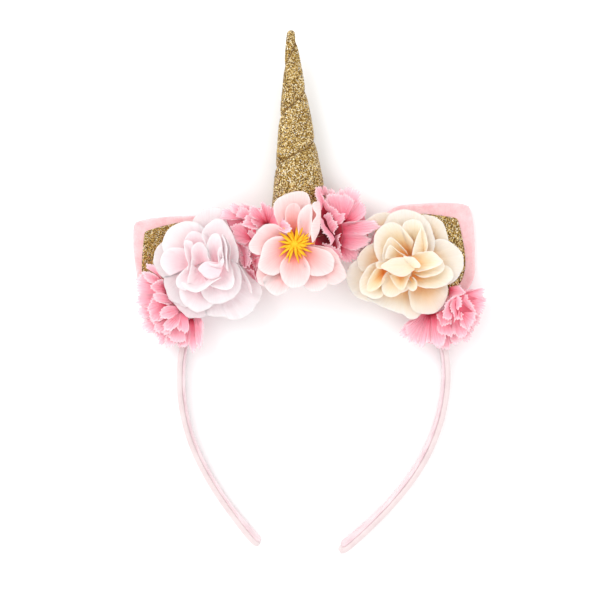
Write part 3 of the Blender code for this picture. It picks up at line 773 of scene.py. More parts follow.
# Petals of the roses and the blossom, by node, lowest first: root line, rim line (in pixels, read off the
# photograph and measured by pixel; a third number is a height), root height, rim height (mm), shaping
WHITE_LAYERS = (
    ("white_rose_petals_1", WHITE_OUT, (
        (((205, 250), (215, 250)), ((189, 232), (192, 222), (196, 215), (202, 209.5), (208, 207),
         (215, 206.5), (221, 208), (225, 214), (228, 224)), 12.6, 15.0, dict(lip=0.3, seed=1)),
        (((190, 262), (195, 268)), ((166, 237), (162, 242), (157, 247), (154, 254), (153, 261), (155, 268),
         (159, 274), (164, 279)), 12.5, 14.8, dict(lip=0.3, seed=2)),
        (((192, 290), (205, 292)), ((167, 298), (174, 304), (178, 309), (183, 314), (188, 317.5),
         (194, 318.5), (200, 318), (207, 315), (210, 309)), 12.2, 13.6, dict(lip=0.3, seed=3, tint=-0.15)),
        (((205, 280), (225, 275)), ((204, 309), (206, 315), (212, 317), (219, 316.5), (226, 317),
         (229, 319.5), (234, 320.5), (240, 319), (246, 316.5), (252, 312), (256, 306), (260, 299), (262, 292),
         (261, 285), (257, 281), (250, 276), (243, 266)), 12.0, 14.0,
         dict(lip=0.3, seed=5, ruffle=0.5, crease=0.25)),
        (((185, 270), (192, 280)), ((164, 276), (163.5, 281), (164.5, 287), (166.5, 294), (169.5, 299.5),
         (175, 303), (181, 305.5), (187, 308)), 13.0, 14.8, dict(lip=0.3, seed=6)),
    )),
    ("white_rose_petals_2", WHITE, (
        (((198, 255), (204, 250)), ((163, 252), (162, 245), (163, 239), (166, 232), (171, 227), (178, 223),
         (185, 221), (192, 221.5), (199, 224), (204, 228), (208, 233)), 14.0, 17.2, dict(lip=0.6, seed=7)),
        (((192, 266), (196, 262)), ((170, 276), (164, 271), (160.5, 265), (160.5, 258), (163, 252),
         (168, 248.5), (175, 247), (182, 247.5), (188, 250)), 14.8, 18.2,
         dict(lip=0.4, power=1.6, tint=-0.12, seed=8)),
        (((196, 284), (208, 284)), ((178, 282), (179, 289), (179.5, 296), (183, 303), (188, 308), (193, 311),
         (199, 312), (205, 310.5), (211, 307.5), (215, 303)), 14.0, 17.4, dict(lip=0.8, power=0.8, seed=10)),
        (((207, 262), (222, 262)), ((205, 246), (202, 238), (201.5, 233), (204, 228), (208, 223.5),
         (213, 219.5), (218, 218.5), (223, 219.5), (228, 225), (232, 232), (235, 240), (238, 248), (239, 256),
         (238, 263)), 14.6, 19.6, dict(lip=0.4, seed=12)),
    )),
    ("white_rose_petals_3", WHITE, (
        (((230, 256), (236, 265), (241, 274), (246, 283), (250, 292)), ((232, 253), (238, 262), (243, 270),
         (247.5, 277.5), (250.5, 284), (252, 289), (252.5, 294)), 14.4, 18.0,
         dict(seed=15, ruffle=0.1, span=(0.5, 1.0), up=6)),
        (((208, 270), (222, 264)), ((200, 289), (202, 294), (205, 299), (210, 303), (216, 304.5),
         (222, 303.5), (229, 301), (235, 297), (240, 290), (242, 281), (241.5, 273), (238, 265), (233, 258)),
         15.0, 19.0, dict(lip=0.8, power=0.9, seed=14)),
        (((190, 262), (205, 256)), ((184, 246), (184.5, 240), (187, 235), (191, 231.5), (196, 231),
         (201, 233.5), (204, 239), (206, 247)), 15.4, 20.0, dict(lip=0.3, tint=-0.22, seed=16)),
        (((196, 268), (198, 262)), ((187, 271), (188, 264), (185.5, 256), (184, 248), (184, 241), (188, 240),
         (193, 242)), 15.8, 20.9, dict(lip=0.3, seed=13, tint=-0.08)),
        (((196, 268), (198, 272)), ((192, 263), (186, 267.5), (180, 273.5), (176, 279), (176, 285),
         (180, 288.5), (186, 291)), 16.0, 20.2, dict(lip=0.5, seed=9)),
    )),
    ("white_rose_petals_4", WHITE, (
        (((199, 264), (203, 262)), ((190.5, 266), (191.5, 258), (191, 250), (193, 245), (198, 242),
         (203, 243), (206, 248), (209, 254), (212, 262)), 17.0, 22.8, dict(lip=0.5, power=1.5, seed=20)),
        (((212, 270), (222, 266)), ((207, 284), (213, 287.3), (220, 289.5), (228, 289.8), (233, 287),
         (235, 281), (234, 274), (232, 267), (229, 261)), 16.8, 22.0, dict(lip=0.5, power=1.6, seed=18)),
        (((200, 270), (204, 276)), ((192, 264), (189.5, 271), (188, 279), (187, 286), (190, 290),
         (196, 291.5), (203, 290.5), (209, 286)), 17.0, 22.6, dict(lip=0.4, power=1.5, seed=17)),
        (((221.5, 240), (224, 250), (225, 262), (226, 271)), ((222, 233.5), (227, 239), (230.5, 246),
         (230.5, 254), (229, 262), (229, 272)), 18.0, 24.0,
         dict(seed=21, ruffle=0.15, span=(0.35, 1.0), up=7)),
    )),
    ("white_rose_petals_5", WHITE, (
        (((190, 283), (196, 285), (203, 283), (210, 278), (218, 274)), ((181, 282), (185, 288),
         (190.5, 291.5), (197, 292.5), (203, 290), (209, 285.5), (215, 281.5), (221.5, 277.5)), 20.6, 23.9,
         dict(lip=0.5, seed=25, ruffle=0.15, span=(0.55, 1.0), up=7)),
        (((213, 264), (218, 264)), ((208, 258), (206.5, 249), (208, 240), (211, 235), (216, 233), (220, 236),
         (222, 243), (223, 252), (224, 262)), 18.0, 25.0, dict(power=1.3, lip=0.3, seed=22, ruffle=0.2)),
        (((220, 238), (221, 246), (222, 256), (222, 264)), ((222, 234.5), (225.5, 240), (227.5, 248),
         (227, 256), (227.5, 264), (228, 271)), 19.5, 25.6,
         dict(seed=24, ruffle=0.15, span=(0.3, 1.0), up=7)),
        (((211, 262), (211, 250), (209, 240)), ((209.5, 257), (207, 249), (204.5, 242), (202, 236),
         (202, 231)), 19.5, 24.4, dict(seed=23, ruffle=0.1, span=(0.4, 1.0), up=6)),
    )),
    ("white_rose_bud", WHITE, (
        (((222, 263), (222, 270)), ((213, 262), (206, 261.5), (200.5, 265), (197.5, 269), (201, 273),
         (206, 278), (213, 278.8), (219, 276.5)), 23.6, 24.4,
         dict(belly=0.5, seed=26, ruffle=0.2, span=(0.30, 0.66), tint=-0.06)),
        (((221.5, 262), (222, 258)), ((222, 248), (219.5, 247), (217.5, 252), (218, 258), (219, 264)), 21.0,
         25.6, dict(seed=27, ruffle=0.1, span=(0.5, 1.0), up=7)),
        (((210, 267), (217, 269), (222, 268)), ((208.5, 262.5), (214, 264), (219, 263), (222.5, 257),
         (224.5, 262)), 23.8, 25.6, dict(seed=28, ruffle=0.1, belly=0.2, span=(0.35, 0.8), up=7)),
    )),
)

CREAM_LAYERS = (
    ("cream_rose_petals_1", CREAM_OUT, (
        (((392, 240), (402, 240)), ((362, 226), (367, 219), (373, 215), (380, 212.5), (386, 212), (392, 214),
         (398, 219)), 12.2, 13.6, dict(lip=0.3, seed=31, tint=-0.12)),
        (((415, 245), (430, 250)), ((420, 215), (427, 214.5), (433, 216), (439, 218.5), (443, 223),
         (446, 230), (448, 237), (449, 244), (447, 251)), 12.6, 15.2, dict(lip=0.3, seed=32, tint=-0.1)),
        (((385, 270), (388, 282)), ((362, 257), (355, 261), (349, 266), (346, 273), (346.5, 281), (349, 288),
         (353, 294), (359, 298.5), (366, 301), (373, 302), (380, 300)), 12.2, 14.0, dict(lip=0.3, seed=33)),
        (((395, 284), (408, 284)), ((366, 298), (373, 302), (380, 306), (388, 310), (396, 312), (403, 315),
         (408, 318.5), (414, 319.3), (420, 316), (424, 311)), 12.4, 14.2, dict(lip=0.3, seed=34, ruffle=0.4)),
        (((388, 258), (390, 266)), ((378, 240), (371, 243.5), (365, 247), (360, 252), (357, 259), (358, 266),
         (362, 272)), 13.2, 15.6, dict(lip=0.3, seed=35, tint=-0.2)),
    )),
    ("cream_rose_petals_2", CREAM_OUT, (
        (((412, 272), (424, 272)), ((408, 292), (409.5, 300), (410.5, 306), (414, 311), (419, 313.6),
         (425, 314.3), (431, 314.2), (437, 312), (442, 307.5), (446, 301), (448, 294), (448, 287),
         (446, 280)), 13.6, 16.6, dict(lip=0.5, power=1.4, seed=36, tint=-0.2, span=(-0.1, 1.05))),
        (((418, 255), (422, 268)), ((430, 243), (436, 239.5), (442, 238.5), (448, 240.5), (454, 244.5),
         (460, 250), (463.5, 257), (464, 265), (461.5, 272), (457, 279), (451, 284), (445, 286)), 13.8, 17.2,
         dict(lip=0.5, seed=37)),
        (((400, 256), (416, 256)), ((380, 234), (384, 224), (389, 215), (396, 210.5), (404, 209), (412, 210),
         (419, 213), (425, 217), (429.5, 224), (433, 233), (435.5, 241), (434.5, 249), (431, 254)), 14.0,
         18.0, dict(lip=0.5, seed=38, tint=0.05)),
    )),
    ("cream_rose_petals_3", CREAM, (
        (((411, 256), (420, 255)), ((401, 228), (404, 222.5), (410, 219), (416, 219), (421, 222),
         (424.5, 230), (427, 238), (428, 246), (426, 252)), 15.0, 20.8, dict(lip=0.5, seed=40)),
        (((405, 256), (411, 255)), ((379, 263), (376, 256), (374, 248), (373.5, 240), (375.5, 232.5),
         (380, 227), (386, 223.5), (392, 222), (398, 223.5), (404, 229), (409.5, 235.5), (414, 241.5)), 15.2,
         21.6, dict(lip=1.0, power=1.2, seed=39)),
        (((388, 266), (392, 274)), ((380, 260.5), (374, 262.5), (368, 266), (363.5, 272), (360, 279),
         (359, 286), (361, 292), (366, 296), (372, 299), (378, 299), (383, 296)), 14.8, 19.4,
         dict(lip=0.5, power=1.3, seed=42)),
        (((412, 268), (414, 277)), ((440, 264), (446, 265), (451, 268), (453.5, 273), (453, 279), (448, 284),
         (441, 287.5), (433, 288.5), (425, 288), (417, 286)), 15.0, 19.6, dict(lip=0.5, power=1.2, seed=41)),
        (((396, 268), (404, 270)), ((386, 272), (382.5, 278), (381, 285), (382, 291.5), (386, 296),
         (391, 297.3), (397, 295.5), (403, 292.5), (409, 289.5), (413, 285)), 15.4, 20.2,
         dict(lip=0.6, seed=43)),
    )),
    ("cream_rose_petals_4", CREAM, (
        (((411, 264), (412, 273)), ((436, 257), (441, 260), (445, 264.5), (443.5, 270.5), (438, 274.5),
         (431, 276.5), (424, 277.8), (417, 275.5)), 16.6, 21.6, dict(lip=0.4, seed=44)),
        (((404, 258), (409, 256)), ((383, 262.5), (382.5, 255), (384, 247), (387, 239.5), (391, 237),
         (396, 240.5), (401.5, 246), (406.5, 251.5)), 16.6, 22.8, dict(lip=0.3, power=1.3, seed=46)),
        (((423, 254), (425, 244), (422, 232)), ((412, 255.5), (413.3, 247), (416, 239), (419, 231.5),
         (421, 227)), 18.0, 23.4, dict(lip=0.4, seed=48, ruffle=0.15, span=(0.45, 1.0))),
        (((384, 268), (388, 272)), ((381, 265), (375, 269.5), (370.5, 276), (367, 283), (366, 289),
         (369.5, 291.7), (375, 290.5), (380.5, 286), (384, 281)), 16.4, 21.0,
         dict(lip=0.3, power=1.3, seed=57, tint=-0.15)),
        (((408, 276), (411, 277)), ((406, 288), (409, 289.5), (413, 291.3), (416.5, 289), (417.5, 284.5),
         (416, 280), (413, 277)), 17.0, 21.4, dict(lip=0.3, seed=49, ruffle=0.15)),
    )),
    ("cream_rose_petals_5", CREAM, (
        (((407, 258), (411, 270)), ((418, 252.5), (425, 251.5), (432, 251), (437, 254.5), (441, 258.5),
         (443.5, 261.5), (439, 265.5), (432, 268.5), (425, 270.5), (418, 272)), 18.0, 23.6,
         dict(lip=0.3, seed=50)),
        (((399, 272), (403, 272)), ((389, 275), (392.5, 282), (396.5, 287.5), (401, 290.7), (405, 288),
         (408, 281), (411.5, 273)), 17.6, 22.8, dict(power=1.8, lip=0.2, seed=51, tint=-0.12, ruffle=0.15)),
        (((402, 260), (407, 257)), ((385, 259), (385.5, 252.5), (388, 246.5), (390.5, 244.7), (395, 248.5),
         (400, 252.5), (405.5, 255.5)), 18.0, 24.2, dict(power=1.2, lip=0.2, seed=52, ruffle=0.2)),
    )),
    ("cream_rose_bud", CREAM, (
        (((390, 264), (388, 268)), ((382, 261.5), (377, 262), (375.5, 265), (377, 268), (381, 269)), 20.4,
         22.6, dict(seed=53, ruffle=0.1)),
        (((418, 263), (416, 268)), ((408, 258), (401, 257), (393, 258), (386, 261.5), (380, 267),
         (388, 271.5), (395, 275.5), (402, 277), (408, 275), (412, 271)), 23.4, 24.6,
         dict(belly=0.9, seed=54, span=(0.6, 0.9), ruffle=0.2)),
        (((406, 262), (414, 268)), ((403, 255.5), (408, 256.5), (414, 257.5), (418.5, 262), (421, 265.5),
         (419, 268)), 24.6, 25.8, dict(belly=0.3, seed=55, span=(0.6, 1.0), ruffle=0.1)),
    )),
)

BLOSSOM_LAYERS = (
    ("blossom_petals_1", BLOSSOM_CLOTH, (
        (((284, 240), (304, 240)), ((274, 214), (273.5, 206), (276, 200), (281, 196), (287, 193),
         (294, 191.3), (301, 191), (307, 193), (310, 199), (311, 207)), 22.6, 25.6,
         dict(lip=0.4, seed=61, span=(0.15, 1.0))),
        (((288, 238), (289, 246)), ((286, 233), (281, 227.5), (275, 224), (268, 223.8), (262, 226),
         (257, 230.5), (254, 236), (250, 241), (248, 246.5), (250.5, 251.5), (256, 254.8), (261, 255)), 22.5,
         26.2, dict(lip=0.4, seed=62, span=(0.1, 0.95))),
        (((284, 262), (288, 268)), ((259, 264), (256.5, 271), (256, 277), (258, 282.5), (262.5, 286),
         (268, 287)), 22.0, 24.2, dict(lip=0.3, seed=60, span=(0.2, 0.85))),
        (((284, 262), (292, 264)), ((262, 278), (264, 285), (268, 291), (273, 295), (279, 295.6),
         (284.5, 293), (289, 288), (292, 282)), 22.3, 24.6, dict(lip=0.4, seed=63, span=(0.1, 1.0))),
        (((300, 244), (302, 256)), ((312, 245), (322, 246), (330, 248), (336, 252.5), (340, 260),
         (345.5, 270), (346, 277), (342, 280.5), (338, 284), (333, 285), (328, 283)), 22.3, 24.8,
         dict(lip=0.3, seed=65, ruffle=0.5, span=(0.1, 0.85))),
        (((304, 262), (314, 266)), ((300, 281), (304, 286.5), (310, 290.5), (317, 292), (323, 289.5),
         (327, 285), (330, 279)), 22.4, 24.6, dict(lip=0.4, seed=64, span=(0.1, 1.0))),
    )),
    ("blossom_petals_2", BLOSSOM_CLOTH, (
        # A flat sheet in the deep tones only, lowest in this layer: painted shade in the gap right of the top
        # petals
        (((300, 247), (314, 249)), ((305, 226), (309, 213), (313, 205), (316.5, 212), (316.8, 224),
         (316.0, 238)), 23.0, 23.7, dict(seed=77, ruffle=0.1, crease=0.0, span=(0.1, 0.42), up=6)),
        (((289, 242), (291, 250)), ((282, 236), (274, 236.8), (267, 240.5), (263, 246), (261, 253),
         (259, 260), (258, 267), (262, 272), (268, 275), (274, 275.7), (280, 273)), 23.6, 27.4,
         dict(lip=0.8, seed=67)),
        (((299, 244), (300, 252)), ((318, 248), (326, 250), (332, 254.5), (335, 261), (334, 268), (330, 273),
         (323, 275.8), (316, 276.3), (310, 274.5), (305, 270)), 23.8, 27.0, dict(lip=0.8, seed=69)),
        (((292, 250), (299, 250)), ((281, 262), (279.5, 269), (281, 277), (284, 283), (289, 287),
         (295, 288.4), (301, 287), (306, 283), (309.5, 276), (310.5, 269), (308, 262)), 24.0, 27.6,
         dict(lip=0.8, seed=68)),
        (((290, 240), (297, 240)), ((286, 228), (285, 218), (285.5, 209), (289, 204), (294, 203), (299, 205),
         (301, 212), (300, 222)), 23.8, 27.2, dict(power=1.3, seed=70, span=(0.0, 0.85), tint=-0.12)),
        (((300, 242), (307, 243)), ((298, 230), (297.7, 220), (299, 213), (302.5, 208), (307, 204.5),
         (311.5, 203.5), (312.5, 212), (312, 223), (311, 234)), 24.0, 28.4,
         dict(lip=0.2, seed=71, span=(0.25, 1.0))),
        (((315, 240), (319.5, 231), (320.5, 222), (321, 213), (320.5, 206), (319, 201)), ((312.5, 243),
         (311, 236), (311, 228), (312.5, 221.5), (316.5, 215), (313.5, 210), (312, 204.5), (314, 202)), 27.0,
         28.8, dict(seed=72, ruffle=0.1, span=(0.75, 1.0))),
    )),
)


def flower(layers, slot):
    """Layers of petals, each petal a little lighter or darker than the next."""
    for node, cloth, petals in layers:
        piece = Piece(node + "_cloth", cloth, node, slot)
        for *places, shaping in petals:
            # Each petal's tones shift a little at random; the larger darker shifts given in the tables are
            # painted shade on cup interiors and on petals in the shade of others
            shaping = dict({"tint": 0.04 * wave(shaping["seed"] * 1.7, 2.0, 5.0)}, **shaping)
            leaf(piece, *places, **shaping)
        piece.make(thick=PETAL_THICK, levels=1)


CALYX_SIDES = 40


def calyx(name, node, slot, cloth, foot, levels):
    """A turned base; levels are (height, radius)."""
    piece = Piece(name, cloth, node, slot)
    centre = polar(*foot)
    rows = []
    for z, radius in levels:
        row = []
        for j in range(CALYX_SIDES):
            a = 2 * math.pi * j / CALYX_SIDES
            r = radius * (1 + 0.03 * math.sin(5 * a))
            point = (centre[0] + r * math.cos(a), centre[1] + r * math.sin(a), z)
            row.append((point, j / CALYX_SIDES, z / 20))
        rows.append(row)
    piece.solid(rows, (*centre, levels[0][0]), (*centre, levels[-1][0]))
    piece.make()


ROSE_CALYX = ((FRONT, 10.6), (FRONT + 0.5, 11.0), (FRONT + 2.0, 10.4), (FRONT + 3.4, 8.6), (FRONT + 4.0, 4.0))
flower(WHITE_LAYERS, "white_petal")
calyx("white_rose_calyx", "white_rose_base", "white_petal", WHITE_OUT, WHITE_ROSE, ROSE_CALYX)
flower(CREAM_LAYERS, "cream_petal")
calyx("cream_rose_calyx", "cream_rose_base", "cream_petal", CREAM_OUT, CREAM_ROSE, ROSE_CALYX)
flower(BLOSSOM_LAYERS, "blossom_petal")
calyx("blossom_calyx", "blossom_base", "blossom_petal", BLOSSOM_CLOTH, BLOSSOM,
      ((FRONT, 4.8), (FRONT + 0.6, 5.0), (FRONT + 6.0, 3.8), (21.0, 4.0), (21.9, 3.4)))

STAMEN_AT = (295, 244, 24.5)  # pixel and height of their middle
STAMEN_RINGS = ((17, 8.4, 1.3), (11, 6.6, 2.2), (9, 4.4, 2.6))  # number, reach, lift
FILAMENT_SIDES, FILAMENT_STEPS = 7, 6
BUTTON_SIDES, BUTTON_ROWS = 20, 6


def stamen_radius(s):
    """Radius of a filament at this share of its length, thickest near its middle."""
    return 0.40 + 0.20 * math.sin(math.pi * min(s * 1.1, 1.0)) - 0.32 * smooth((s - 0.65) / 0.35)


def stamens():
    piece = Piece("blossom_filaments", STAMEN, "blossom_stamens", "stamen")
    random.seed(5)
    cx, cy, core = seen(*STAMEN_AT)
    for ring, (number, reach, lift) in enumerate(STAMEN_RINGS):
        for i in range(number):
            a = 2 * math.pi * (i + 0.5 * ring) / number + random.uniform(-0.10, 0.10)
            long = reach * random.uniform(0.82, 1.06)
            high = lift * random.uniform(0.8, 1.15)
            points = []
            for k in range(FILAMENT_STEPS + 1):
                s = k / FILAMENT_STEPS
                r = 0.4 + long * s
                z = core + 0.4 + high * math.sin(s * math.pi * 0.62) * 0.9
                points.append((cx + r * math.cos(a + 0.1 * s), cy + r * math.sin(a + 0.1 * s), z))
            tube(piece, points, stamen_radius, FILAMENT_SIDES)
    rows = []
    for k in range(BUTTON_ROWS + 1):
        t = math.pi / 2 * k / BUTTON_ROWS
        row = []
        for j in range(BUTTON_SIDES):
            a = 2 * math.pi * j / BUTTON_SIDES
            r = 2.3 * math.cos(t) * (1 + 0.05 * math.sin(6 * a))
            z = core + 0.2 + 2.4 * math.sin(t)
            row.append(((cx + r * math.cos(a), cy + r * math.sin(a), z), j / BUTTON_SIDES, t))
        rows.append(row)
    piece.solid([rows[0]] + rows[:-1], (cx, cy, core + 0.1), (cx, cy, core + 2.65))
    piece.make()


stamens()


